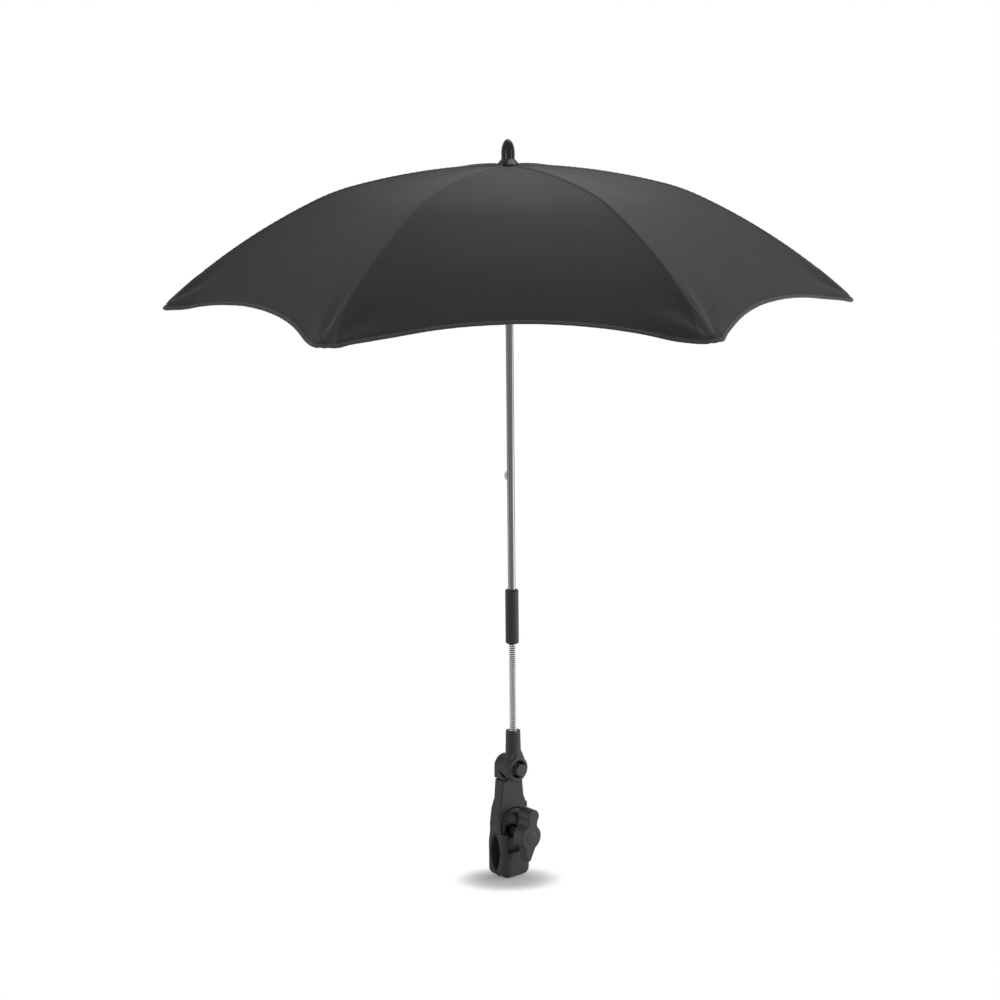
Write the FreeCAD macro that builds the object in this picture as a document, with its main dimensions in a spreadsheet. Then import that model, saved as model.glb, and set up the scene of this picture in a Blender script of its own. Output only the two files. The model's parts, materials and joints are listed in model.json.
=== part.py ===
import FreeCAD, Part

import math
import os
import re

import Sketcher
from FreeCAD import Placement, Rotation, Vector

# A pram parasol: a tube clamp with a tilting head, a gooseneck, a pole and a folding canopy of six ribs.
# X runs along the clamped tube, -Y is the wing knob's side, Z is up, and the origin is the tube's centre.

# Driving dimensions in millimetres and degrees
SIZES = {
    # tube clamp
    "tube_diameter": 15.0,
    "opening_height": 43.0,
    "opening_width": 13.0,
    "pad_thickness": 1.6,
    "pad_height": 36.0,
    "pad_margin": 0.5,
    "clamp_width": 36.0,
    "ledge_side": 1.5,
    "waist_width": 31.0,
    "shoulder_width": 27.4,
    "back_wall": 5.5,
    "jaw_wall": 11.5,
    "bottom_wall": 6.0,
    "bottom_round": 8.5,
    "jaw_round": 8.5,
    "edge_round": 2.0,
    "ledge_height": 49.7,
    "ledge_proud": 1.3,
    "waist_height": 60.0,
    "shoulder_drop": 12.8,
    "shoulder_back": 5.2,
    "arch_radius": 16.0,
    "arch_gap": 1.4,
    "rim_round": 1.6,
    "arch_centre_height": 32.0,
    "arch_back": 3.0,
    "parting_gap": 0.4,
    "knuckle_radius": 3.1,
    "knuckle_width": 15.4,
    "hinge_pin_diameter": 2.4,
    "pin_inset": 1.0,
    "cut_margin": 1.0,
    # clamping screw and knob
    "stud_diameter": 5.0,
    "stud_height": 22.5,
    "stud_reach": 32.0,
    "stud_head_radius": 4.6,
    "stud_head_thickness": 3.0,
    "stud_swing": 4.6,
    "boss_radius": 7.0,
    "pocket_radius": 10.6,
    "pocket_side": 14.0,
    "pocket_base_height": 2.0,
    "pocket_floor": 9.0,
    "arch_pocket_floor": 5.2,
    "washer_radius": 6.6,
    "washer_thickness": 1.2,
    "knob_angle": 9.0,
    "hub_radius": 6.8,
    "hub_length": 19.0,
    "knob_boss_radius": 13.4,
    "knob_boss_depth": 14.0,
    "wing_depth": 18.0,
    "tail_depth": 10.0,
    "tail_width": 23.0,
    "wing_neck": 12.6,
    "wing_rise": 22.4,
    "wing_top_radius": 7.6,
    "wing_drop": 22.6,
    "wing_end_radius": 4.0,
    "wing_waist_round": 5.0,
    "wing_edge_round": 1.8,
    "cap_radius": 7.4,
    "cap_seat": 3.0,
    "cap_dome": 1.0,
    "nut_width": 8.0,
    "nut_length": 7.0,
    # tilting head
    "pole_offset": 9.5,
    "split_offset": 8.5,
    "hinge_height": 93.0,
    "disc_radius": 12.5,
    "ear_radius": 13.5,
    "disc_thickness": 15.5,
    "web_width": 17.0,
    "web_root": 3.0,
    "cheek_gap": 1.0,
    "ear_thickness": 9.3,
    "face_gap": 0.3,
    "swing_gap": 0.7,
    "socket_top_radius": 7.7,
    "socket_base_radius": 8.4,
    "socket_length": 41.0,
    "flare_height": 20.0,
    "flare_base_radius": 14.0,
    "flare_base_height": 4.0,
    "ear_round": 2.0,
    "pivot_radius": 6.0,
    "pivot_length": 4.2,
    "running_gap": 0.08,
    "button_radius": 6.5,
    "button_proud": 5.0,
    "button_inset": 1.2,
    "button_round": 0.9,
    "button_pocket_radius": 9.6,
    "button_pocket_depth": 6.5,
    "stem_radius": 3.0,
    "stem_flat": 4.6,
    "cone_length": 4.0,
    "cone_small_radius": 5.0,
    "cone_large_radius": 8.0,
    "cone_gap": 0.3,
    "lock_screw_radius": 1.5,
    "lock_screw_length": 11.0,
    "lock_screw_head_radius": 3.0,
    "lock_screw_head": 1.8,
    "back_cap_radius": 9.6,
    "back_cap_thickness": 2.0,
    "spring_wire": 0.8,
    "spring_radius": 4.7,
    "spring_turns": 2.5,
    # gooseneck
    "neck_length": 95.4,
    "coil_radius": 3.25,
    "coil_wire": 1.5,
    "coil_pitch": 2.0,
    "coil_bend": 2.2,
    "core_radius": 2.3,
    "ferrule_radius": 5.8,
    "ferrule_bore": 4.8,
    "ferrule_depth": 6.0,
    "ferrule_floor": 12.0,
    "ferrule_inset": 1.0,
    # mast
    "sleeve_radius": 7.0,
    "sleeve_length": 57.5,
    "sleeve_chamfer": 0.8,
    "pole_radius": 4.0,
    "pole_wall": 0.7,
    "pole_seat": 38.0,
    "apex_height": 726.0,
    "crown_radius": 11.0,
    "crown_height": 18.0,
    "crown_seat": 10.0,
    "spigot_radius": 2.5,
    "spigot_length": 9.0,
    "ring_radius": 8.5,
    "ring_wire": 1.4,
    "pivot_drop": 5.5,
    "slot_floor_radius": 6.2,
    "slot_gap": 0.5,
    "washer_disc_radius": 10.0,
    "washer_disc_thickness": 0.8,
    "washer_disc_gap": 0.12,
    "finial_flange_radius": 11.0,
    "finial_flange": 1.6,
    "finial_radius": 6.9,
    "finial_height": 26.0,
    "finial_shank": 12.0,
    "finial_cone": 4.6,
    # folding frame
    "rib_count": 6,
    "canopy_turn": 21.5,
    "arm_length": 168.0,
    "open_angle": 8.0,
    "inner_arc": 560.0,
    "outer_arc": 620.0,
    "outer_chord": 197.0,
    "outer_kink": 24.6,
    "rib_height": 2.6,
    "rib_width": 2.2,
    "rib_wall": 0.5,
    "eye_radius": 1.9,
    "eye_hole": 0.9,
    "joint_radius": 1.7,
    "joint_solid": 8.0,
    "tip_radius": 2.1,
    "tip_length": 9.0,
    "tip_overlap": 6.0,
    "rivet_radius": 0.8,
    "rivet_head_radius": 1.6,
    "rivet_head": 0.6,
    "fork_gap": 0.3,
    "fork_cheek": 0.9,
    "fork_length": 14.5,
    "fork_bridge": 2.5,
    "fork_height": 3.0,
    "rod_radius": 1.3,
    "eye_width": 3.0,
    "crossbar_radius": 0.8,
    "crossbar_length": 4.8,
    "runner_length": 44.0,
    "runner_radius": 5.8,
    "collar_radius": 11.0,
    "collar_above": 3.2,
    "collar_below": 3.0,
    "catch_radius": 5.8,
    "catch_proud": 2.8,
    "catch_thickness": 1.2,
    "catch_gap": 0.1,
    "bottom_catch_rise": 121.1,
    "top_catch_gap": 1.0,
    # canopy
    "cloth_thickness": 0.8,
    "cloth_gap": 1.5,
    "scallop_depth": 23.0,
    "tip_round": 12.0,
    "hem_overhang": 14.2,
    "hem_overrun": 36.0,
    "apex_hole": 2.6,
}

os.makedirs("parts", exist_ok=True)
doc = FreeCAD.newDocument("pram_parasol")
sheet = doc.addObject("Spreadsheet::Sheet", "sizes")
for row, (alias, number) in enumerate(SIZES.items(), start=1):
    sheet.set(f"A{row}", alias)
    sheet.set(f"B{row}", str(number))
    sheet.setAlias(f"B{row}", alias)
doc.recompute()

TURNS = {
    "x": Rotation(Vector(0, 1, 0), 90),
    "y": Rotation(Vector(1, 0, 0), -90),
    "z": Rotation(),
}
subparts = []

# Limits used to pick edges: the cosine of an edge that runs along an axis, of one that runs clear of it,
# and how close in millimetres an edge lies to a face
ALONG = 0.9
CLEAR = 0.6
TOUCH = 0.1


def size(alias):
    return float(sheet.get(alias))


def bound(text):
    """The expression with each named size read from the sheet."""
    return re.sub(r"[a-z_]+", lambda m: f"sizes.{m[0]}" if m[0] in SIZES else m[0], text)


def value(text):
    return float(sheet.evalExpression(bound(text)))


def bind(obj, sizes, at=("0", "0", "0"), axis="z"):
    obj.Placement = Placement(Vector(), TURNS[axis])
    for prop, text in sizes.items():
        obj.setExpression(prop, bound(text))
    for letter, text in zip("xyz", at):
        obj.setExpression(f"Placement.Base.{letter}", bound(text))
    return obj


def rod(name, radius, length, at, axis="z"):
    obj = doc.addObject("Part::Cylinder", name)
    return bind(obj, {"Radius": radius, "Height": length}, at, axis)


def taper(name, near_radius, far_radius, length, at, axis="z"):
    obj = doc.addObject("Part::Cone", name)
    return bind(obj, {"Radius1": near_radius, "Radius2": far_radius, "Height": length}, at, axis)


def block(name, x, y, z):
    """A box between two named limits along each axis."""
    obj = doc.addObject("Part::Box", name)
    spans = {
        "Length": f"({x[1]}) - ({x[0]})",
        "Width": f"({y[1]}) - ({y[0]})",
        "Height": f"({z[1]}) - ({z[0]})",
    }
    return bind(obj, spans, (x[0], y[0], z[0]))


def fuse(name, *shapes):
    obj = doc.addObject("Part::MultiFuse", name)
    obj.Shapes = list(shapes)
    obj.Refine = True
    return obj


def common(name, *shapes):
    obj = doc.addObject("Part::MultiCommon", name)
    obj.Shapes = list(shapes)
    return obj


def cut(name, base, *tools):
    obj = doc.addObject("Part::Cut", name)
    obj.Base = base
    obj.Tool = tools[0] if len(tools) == 1 else fuse(f"{name}_cutters", *tools)
    obj.Refine = True
    return obj


def soften(name, base, radius, wanted):
    """Round the edges whose middle point and direction are wanted."""
    doc.recompute()
    obj = doc.addObject("Part::Fillet", name)
    obj.Base = base
    chosen = []
    for number, edge in enumerate(base.Shape.Edges, start=1):
        middle = edge.valueAt((edge.FirstParameter + edge.LastParameter) / 2)
        along = edge.tangentAt((edge.FirstParameter + edge.LastParameter) / 2)
        if wanted(middle, along):
            chosen.append((number, value(radius), value(radius)))
    obj.Edges = chosen
    return obj


def keep(obj, name):
    obj.Label = name
    subparts.append(obj)
    return obj


def shape_part(name, shape, placement=None):
    obj = doc.addObject("Part::Feature", name)
    obj.Shape = shape
    if placement:
        obj.Placement = placement
    return keep(obj, name)


def plane(body, role):
    return next(f for f in body.Origin.OriginFeatures if f.Role == role)


def draw(sketch, corners):
    """A closed outline of straight lines through named points, each held from the sketch's origin."""
    points = [Vector(value(u), value(v), 0) for u, v in corners]
    count = len(points)
    for i in range(count):
        sketch.addGeometry(Part.LineSegment(points[i], points[(i + 1) % count]))
    for i in range(count):
        sketch.addConstraint(Sketcher.Constraint("Coincident", i, 2, (i + 1) % count, 1))
    for i, corner in enumerate(corners):
        for kind, text in zip(("DistanceX", "DistanceY"), corner):
            number = sketch.addConstraint(Sketcher.Constraint(kind, -1, 1, i, 1, value(text)))
            sketch.setExpression(f"Constraints[{number}]", bound(text))


def turned(name, corners, at=("0", "0", "0")):
    """A body of revolution about Z from an outline of radius and height."""
    body = doc.addObject("PartDesign::Body", name)
    sketch = body.newObject("Sketcher::SketchObject", f"{name}_outline")
    sketch.AttachmentSupport = [(plane(body, "XZ_Plane"), "")]
    sketch.MapMode = "FlatFace"
    draw(sketch, corners)
    turn = body.newObject("PartDesign::Revolution", f"{name}_turn")
    turn.Profile = sketch
    turn.ReferenceAxis = (sketch, ["V_Axis"])
    turn.Angle = 360
    return bind(body, {}, at)


def prism(name, corners, axis, start, end):
    """A straight prism along X or Y from an outline drawn in the plane across it."""
    sketch = doc.addObject("Sketcher::SketchObject", f"{name}_outline")
    across = {
        "x": Rotation(Vector(0, 1, 0), Vector(0, 0, 1), Vector(1, 0, 0), "XYZ"),
        "y": Rotation(Vector(1, 0, 0), Vector(0, 0, 1), Vector(0, -1, 0), "XYZ"),
    }
    sketch.Placement = Placement(Vector(), across[axis])
    draw(sketch, corners)
    obj = doc.addObject("Part::Extrusion", name)
    obj.Base = sketch
    obj.DirMode = "Custom"
    obj.Dir = {"x": Vector(1, 0, 0), "y": Vector(0, 1, 0)}[axis]
    obj.Solid = True
    obj.setExpression("LengthFwd", bound(end))
    obj.setExpression("LengthRev", bound(f"-({start})"))
    return obj


def both_sides(corners):
    """An outline given for its right half, with the left half as its mirror image."""
    return corners + [(f"-({u})", v) for u, v in reversed(corners)]


# Levels and planes that several pieces share
BOTTOM = "-(opening_height / 2 + bottom_wall)"
PIN_HEIGHT = f"({BOTTOM} + knuckle_radius)"
KNUCKLE_HALF = "(clamp_width / 2 - bottom_round / 2)"
PIN_HALF = f"({KNUCKLE_HALF} - pin_inset)"
BACK = "(opening_width / 2 + back_wall)"
JAW_FRONT = "-(opening_width / 2 + jaw_wall)"
NECK_FRONT = "-split_offset"
LEDGE_FRONT = "-(split_offset + ledge_proud)"
LEDGE_HALF = "(clamp_width / 2 + ledge_side)"
STEP = "(stud_height + parting_gap / 2)"
JAW_STEP = "(stud_height - parting_gap / 2)"
LENS_RADIUS = "((opening_height ^ 2 + opening_width ^ 2) / (4 * opening_width))"
LENS_CENTRE = f"({LENS_RADIUS} - opening_width / 2)"
TONGUE_ROOT = "(stud_height - stud_diameter)"
KNOB_BACK = f"({JAW_FRONT} - face_gap - washer_thickness - face_gap)"
HUB_FRONT = f"({KNOB_BACK} - hub_length)"
EAR_BACK = "-(split_offset + face_gap)"
EAR_FRONT = f"({EAR_BACK} - ear_thickness)"
DISC_BACK = "(disc_thickness - split_offset)"
POCKET_FLOOR = f"({EAR_FRONT} + button_pocket_depth)"
BUTTON_BACK = f"({EAR_FRONT} + button_inset)"
BUTTON_FRONT = f"({EAR_FRONT} - button_proud)"
SEAT_FRONT = f"({EAR_BACK} + pivot_length + 2 * face_gap)"
CONE_BACK = f"({SEAT_FRONT} + cone_length)"
CAP_SEAT_BACK = f"({DISC_BACK} - back_cap_thickness)"
SHOULDER = "(hinge_height - shoulder_drop)"
SOCKET_TOP = "(hinge_height + socket_length)"
LOWER_FLOOR = f"({SOCKET_TOP} - ferrule_depth)"
SLEEVE_BASE = f"({SOCKET_TOP} + neck_length)"
UPPER_FLOOR = f"({SLEEVE_BASE} + ferrule_depth)"
SLEEVE_TOP = f"({SLEEVE_BASE} + sleeve_length)"
POLE_BASE = f"({SLEEVE_TOP} - pole_seat)"
CROWN_TOP = "(apex_height - cloth_thickness - washer_disc_gap - washer_disc_thickness)"
CROWN_BASE = f"({CROWN_TOP} - crown_height)"
POLE_TOP = f"({CROWN_BASE} + crown_seat)"
PIVOT = "(apex_height - pivot_drop)"
RUNNER_PIVOT = f"({PIVOT} - 2 * arm_length * sin(open_angle * 1 deg))"
RUNNER_TOP = f"({RUNNER_PIVOT} + collar_above)"
RUNNER_BASE = f"({RUNNER_TOP} - runner_length)"
AXIS = ("0", "-pole_offset")


def on_axis(height):
    return AXIS + (height,)


def hinge_point(depth):
    return ("0", depth, "hinge_height")


def stud_point(depth):
    return ("0", depth, "stud_height")


# Tube opening: a pointed lens between two cylinders, with a pocket for each rubber pad
def lens_side(name, sign, extra):
    return rod(
        name,
        f"{LENS_RADIUS} + {extra}",
        f"2 * {LEDGE_HALF}",
        (f"-{LEDGE_HALF}", f"{sign}{LENS_CENTRE}", "0"),
        "x",
    )


def opening(name):
    lens = common(f"{name}_lens", lens_side(f"{name}_a", "-", "0"), lens_side(f"{name}_b", "", "0"))
    wide = common(
        f"{name}_pockets",
        lens_side(f"{name}_c", "-", "pad_thickness"),
        lens_side(f"{name}_d", "", "pad_thickness"),
        block(
            f"{name}_band",
            (f"-{LEDGE_HALF}", LEDGE_HALF),
            (f"-{BACK}", BACK),
            ("-pad_height / 2", "pad_height / 2"),
        ),
    )
    return fuse(name, lens, wide)


def jaw_pad(name, sign):
    """A curved rubber strip with a round groove that seats the tube."""
    half_width = "(clamp_width / 2 - pad_margin)"
    side = ("0", BACK) if sign == "-" else (f"-{BACK}", "0")
    strip = block(
        f"{name}_strip", (f"-{half_width}", half_width), side, ("-pad_height / 2", "pad_height / 2")
    )
    outer = lens_side(f"{name}_outer", sign, "pad_thickness")
    inner = lens_side(f"{name}_inner", sign, "0")
    seat = rod(f"{name}_seat", "tube_diameter / 2", f"2 * {LEDGE_HALF}", (f"-{LEDGE_HALF}", "0", "0"), "x")
    return keep(cut(name, common(f"{name}_blank", outer, strip), inner, seat), name)


def knuckle(name, radius, half_width):
    return rod(name, radius, f"2 * ({half_width})", (f"-({half_width})", "0", PIN_HEIGHT), "x")


def clamp_body():
    front = prism(
        "clamp_front",
        both_sides(
            [
                ("shoulder_width / 2", SHOULDER),
                ("waist_width / 2", "waist_height"),
                (LEDGE_HALF, "ledge_height"),
                (LEDGE_HALF, "arch_centre_height"),
                ("clamp_width / 2", STEP),
                ("clamp_width / 2", BOTTOM),
            ]
        ),
        "y",
        LEDGE_FRONT,
        BACK,
    )
    low = value(BOTTOM)
    front = soften(
        "clamp_front_soft", front, "bottom_round", lambda p, d: abs(d.y) > ALONG and p.z < low + TOUCH
    )
    side = prism(
        "clamp_side",
        [
            ("parting_gap / 2", BOTTOM),
            (BACK, BOTTOM),
            (BACK, "opening_height / 4"),
            ("shoulder_back", "ledge_height"),
            ("shoulder_back", SHOULDER),
            (NECK_FRONT, SHOULDER),
            (NECK_FRONT, "ledge_height + ledge_proud"),
            (LEDGE_FRONT, "ledge_height"),
            (LEDGE_FRONT, STEP),
            ("parting_gap / 2", STEP),
        ],
        "x",
        f"-{LEDGE_HALF}",
        LEDGE_HALF,
    )
    back = value(BACK)
    side = soften(
        "clamp_side_soft",
        side,
        "bottom_round",
        lambda p, d: abs(d.x) > ALONG and p.z < low + TOUCH and p.y > back - TOUCH,
    )
    blank = common("clamp_blank", front, side)
    low_side = low + value("bottom_round")
    blank = soften(
        "clamp_blank_soft",
        blank,
        "edge_round",
        lambda p, d: abs(d.x) < CLEAR and abs(d.y) < CLEAR and p.z > low_side,
    )
    web = block(
        "clamp_web",
        ("-web_width / 2", "web_width / 2"),
        (NECK_FRONT, "shoulder_back"),
        (f"{SHOULDER} - web_root", "hinge_height"),
    )
    disc = rod("hinge_disc", "disc_radius", "disc_thickness", hinge_point(NECK_FRONT), "y")
    cheek = block(
        "hinge_cheek",
        ("-disc_radius", "disc_radius"),
        (NECK_FRONT, DISC_BACK),
        (f"{SHOULDER} + cheek_gap", "hinge_height"),
    )
    channel = rod(
        "barrel_channel",
        "socket_base_radius + swing_gap",
        "2 * disc_radius",
        ("-disc_radius", "-pole_offset", "hinge_height"),
        "x",
    )
    cheek = cut("hinge_cheek_hollow", cheek, channel)
    knuckles = knuckle("clamp_knuckles", "knuckle_radius", KNUCKLE_HALF)
    solid = fuse("clamp_solid", blank, web, disc, cheek, knuckles)
    recess_radius = "(arch_radius + arch_gap)"
    depth = (f"{LEDGE_FRONT} - cut_margin", "parting_gap - arch_back")
    recess_length = f"({depth[1]}) - ({depth[0]})"
    arch = rod("recess_arch", recess_radius, recess_length, ("0", depth[0], "arch_centre_height"), "y")
    sides = block(
        "recess_sides",
        (f"-{recess_radius}", recess_radius),
        depth,
        (TONGUE_ROOT, "arch_centre_height"),
    )
    stud_hole = rod("stud_hole", "stud_diameter / 2", f"2 * {BACK}", stud_point(f"-{BACK}"), "y")
    head_hole = rod(
        "stud_head_hole", "stud_head_radius", BACK, stud_point(f"{BACK} - 2 * stud_head_thickness"), "y"
    )
    pin_hole = knuckle("clamp_pin_hole", "hinge_pin_diameter / 2", PIN_HALF)
    jaw_room = knuckle("clamp_jaw_room", "knuckle_radius + parting_gap", "knuckle_width / 2 + parting_gap")
    bore = rod(
        "hinge_bore",
        "pivot_radius + running_gap",
        f"{SEAT_FRONT} - {NECK_FRONT}",
        hinge_point(NECK_FRONT),
        "y",
    )
    seat = taper(
        "cone_seat",
        "cone_small_radius + cone_gap",
        "cone_large_radius + cone_gap",
        "cone_length",
        hinge_point(SEAT_FRONT),
        "y",
    )
    cavity = rod(
        "lock_cavity",
        "cone_large_radius + 2 * cone_gap",
        f"{DISC_BACK} - {CONE_BACK}",
        hinge_point(CONE_BACK),
        "y",
    )
    cap_seat = rod(
        "back_cap_seat", "back_cap_radius", "back_cap_thickness", hinge_point(CAP_SEAT_BACK), "y"
    )
    tools = [arch, sides, stud_hole, head_hole, pin_hole, jaw_room, bore, seat, cavity, cap_seat]
    keep(cut("clamp_body", solid, opening("clamp_opening"), *tools), "clamp_body")


def clamp_fittings():
    keep(knuckle("jaw_hinge_pin", "hinge_pin_diameter / 2", PIN_HALF), "jaw_hinge_pin")
    head_front = f"({BACK} - 2 * stud_head_thickness)"
    head = rod("stud_head", "stud_head_radius", "stud_head_thickness", stud_point(head_front), "y")
    shank = rod(
        "stud_shank", "stud_diameter / 2", f"{head_front} + stud_reach", stud_point("-stud_reach"), "y"
    )
    keep(fuse("clamp_stud", head, shank), "clamp_stud")
    jaw_pad("back_jaw_pad", "-")
    keep(
        rod("hinge_back_cap", "back_cap_radius", "back_cap_thickness", hinge_point(CAP_SEAT_BACK), "y"),
        "hinge_back_cap",
    )


def clamp_jaw():
    blank = block(
        "jaw_block",
        ("-clamp_width / 2", "clamp_width / 2"),
        (JAW_FRONT, "-parting_gap / 2"),
        (BOTTOM, JAW_STEP),
    )
    low = value(BOTTOM)
    front = value(JAW_FRONT)
    blank = soften(
        "jaw_block_soft",
        blank,
        "jaw_round",
        lambda p, d: (abs(d.y) > ALONG and p.z < low + TOUCH)
        or (abs(d.z) > ALONG and p.y < front + TOUCH)
        or (abs(d.x) > ALONG and p.z < low + TOUCH and p.y < front + TOUCH),
    )
    arch_front = f"({LEDGE_FRONT} - parting_gap)"
    arch_depth = f"-arch_back - {arch_front}"
    arch = rod("jaw_arch", "arch_radius", arch_depth, ("0", arch_front, "arch_centre_height"), "y")
    tongue = block(
        "jaw_tongue",
        ("-arch_radius", "arch_radius"),
        (arch_front, "-arch_back"),
        (TONGUE_ROOT, "arch_centre_height"),
    )
    boss = rod("jaw_boss", "boss_radius", f"-arch_back - {JAW_FRONT}", stud_point(JAW_FRONT), "y")
    pocket_front = f"({JAW_FRONT} - cut_margin)"
    low_pocket = block(
        "jaw_pocket_low",
        ("-pocket_side", "pocket_side"),
        (pocket_front, "-pocket_floor"),
        ("pocket_base_height", JAW_STEP),
    )
    high_pocket = block(
        "jaw_pocket_high",
        ("-pocket_radius", "pocket_radius"),
        (pocket_front, "-arch_pocket_floor"),
        (f"{TONGUE_ROOT} - cut_margin", "arch_centre_height"),
    )
    arch_pocket = rod(
        "jaw_pocket_arch",
        "pocket_radius",
        f"-arch_pocket_floor - {pocket_front}",
        ("0", pocket_front, "arch_centre_height"),
        "y",
    )
    own_knuckle = knuckle("jaw_knuckle", "knuckle_radius", "knuckle_width / 2")
    near = "knuckle_width / 2"
    far = "clamp_width / 2 + cut_margin"
    rooms = [
        rod(
            f"jaw_room_{side}",
            "knuckle_radius + parting_gap",
            f"{far} - {near}",
            (start, "0", PIN_HEIGHT),
            "x",
        )
        for side, start in (("right", near), ("left", f"-({far})"))
    ]
    slot_radius = "(stud_diameter / 2 + parting_gap)"
    slot_low = rod("jaw_slot_low", slot_radius, "stud_reach", stud_point("-stud_reach"), "y")
    slot_high = rod(
        "jaw_slot_high", slot_radius, "stud_reach", ("0", "-stud_reach", "stud_height + stud_swing"), "y"
    )
    slot_mid = block(
        "jaw_slot_mid",
        (f"-{slot_radius}", slot_radius),
        ("-stud_reach", "0"),
        ("stud_height", "stud_height + stud_swing"),
    )
    pin_hole = knuckle("jaw_pin_hole", "hinge_pin_diameter / 2 + running_gap", "clamp_width / 2")
    trimmed = cut("jaw_trimmed", blank, opening("jaw_opening"), *rooms)
    hollow = cut("jaw_hollow", trimmed, low_pocket)
    arched = cut("jaw_arched", fuse("jaw_arch_blank", arch, tongue), high_pocket, arch_pocket)
    rim = value(arch_front)
    root = value(TONGUE_ROOT)
    arched = soften(
        "jaw_rim_soft", arched, "rim_round", lambda p, d: abs(p.y - rim) < TOUCH and p.z > root + TOUCH
    )
    solid = fuse("jaw_solid", hollow, arched, boss, own_knuckle)
    lens = opening("jaw_opening_again")
    keep(cut("clamp_jaw", solid, lens, slot_low, slot_high, slot_mid, pin_hole), "clamp_jaw")
    jaw_pad("front_jaw_pad", "")


def knob_point(depth):
    return ("0", depth, "0")


def nut_prism(name, back):
    obj = doc.addObject("Part::Prism", name)
    obj.Polygon = 6
    return bind(obj, {"Circumradius": "nut_width / sqrt(3)", "Height": "nut_length"}, knob_point(back), "y")


def thrust_washer():
    back = f"({JAW_FRONT} - face_gap - washer_thickness)"
    ring = rod("washer_ring", "washer_radius", "washer_thickness", stud_point(back), "y")
    hole = rod("washer_hole", "stud_diameter / 2 + face_gap", "washer_thickness", stud_point(back), "y")
    keep(cut("thrust_washer", ring, hole), "thrust_washer")


def wing_knob():
    """The hand knob, drawn about its own axis and then set on the stud with its wings turned."""
    hub = rod("knob_hub", "hub_radius", "hub_length", knob_point(HUB_FRONT), "y")
    boss = rod("knob_boss", "knob_boss_radius", "knob_boss_depth", knob_point(HUB_FRONT), "y")
    top = rod("knob_wing_top", "wing_top_radius", "wing_depth", ("0", HUB_FRONT, "wing_rise"), "y")
    tail = rod("knob_tail_end", "wing_end_radius", "tail_depth", ("0", HUB_FRONT, "-wing_drop"), "y")
    neck = block(
        "knob_neck",
        ("-wing_neck / 2", "wing_neck / 2"),
        (HUB_FRONT, f"{HUB_FRONT} + wing_depth"),
        ("0", "wing_rise"),
    )
    outline = [("tail_width / 2", "0"), ("wing_end_radius", "-wing_drop")]
    blade = prism("knob_blade", both_sides(outline), "y", HUB_FRONT, f"{HUB_FRONT} + tail_depth")
    wings = fuse("knob_wings", boss, top, neck, tail, blade)
    boss_edge = value("knob_boss_radius") / 2
    wings = soften(
        "knob_waist_soft",
        wings,
        "wing_waist_round",
        lambda p, d: abs(d.y) > ALONG and boss_edge < abs(p.z) < value("wing_rise") - TOUCH,
    )
    front = value(HUB_FRONT)
    wings = soften("knob_edge_soft", wings, "wing_edge_round", lambda p, d: p.y < front + TOUCH)
    blank = fuse("knob_blank", hub, wings)
    nut_back = f"({KNOB_BACK} - nut_length)"
    cap_room = rod("knob_cap_room", "cap_radius", "cap_seat", knob_point(HUB_FRONT), "y")
    stud_room = rod(
        "knob_stud_room", "stud_diameter / 2 + face_gap", "hub_length", knob_point(HUB_FRONT), "y"
    )
    knob = cut("wing_knob", blank, cap_room, nut_prism("knob_nut_room", nut_back), stud_room)
    nut_hole = rod("nut_hole", "stud_diameter / 2 + running_gap", "nut_length", knob_point(nut_back), "y")
    nut = cut("knob_nut", nut_prism("nut_blank", nut_back), nut_hole)
    plug = rod("cap_plug", "cap_radius", "cap_seat", knob_point(HUB_FRONT), "y")
    dome = doc.addObject("Part::Ellipsoid", "cap_dome_whole")
    bind(
        dome,
        {"Radius1": "cap_dome", "Radius2": "cap_radius", "Radius3": "cap_radius"},
        knob_point(HUB_FRONT),
        "y",
    )
    half = rod(
        "cap_dome_front", "knob_boss_radius", "cap_dome", knob_point(f"{HUB_FRONT} - cap_dome"), "y"
    )
    cap = fuse("knob_cap", plug, common("cap_dome_half", dome, half))
    for piece in (knob, nut, cap):
        piece.Placement = Placement(Vector(), Rotation(Vector(0, 1, 0), size("knob_angle")))
        piece.setExpression("Placement.Base.z", bound("stud_height"))
        piece.setExpression("Placement.Rotation.Angle", bound("knob_angle"))
        keep(piece, piece.Name)


def keyed_stem(name, radius, flat, start, end):
    """A round bar along the hinge axis with two flats."""
    bar = rod(f"{name}_bar", radius, f"({end}) - ({start})", hinge_point(start), "y")
    flats = block(
        f"{name}_flats",
        (f"-({flat}) / 2", f"({flat}) / 2"),
        (start, end),
        (f"hinge_height - ({radius})", f"hinge_height + ({radius})"),
    )
    return common(name, bar, flats)


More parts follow.
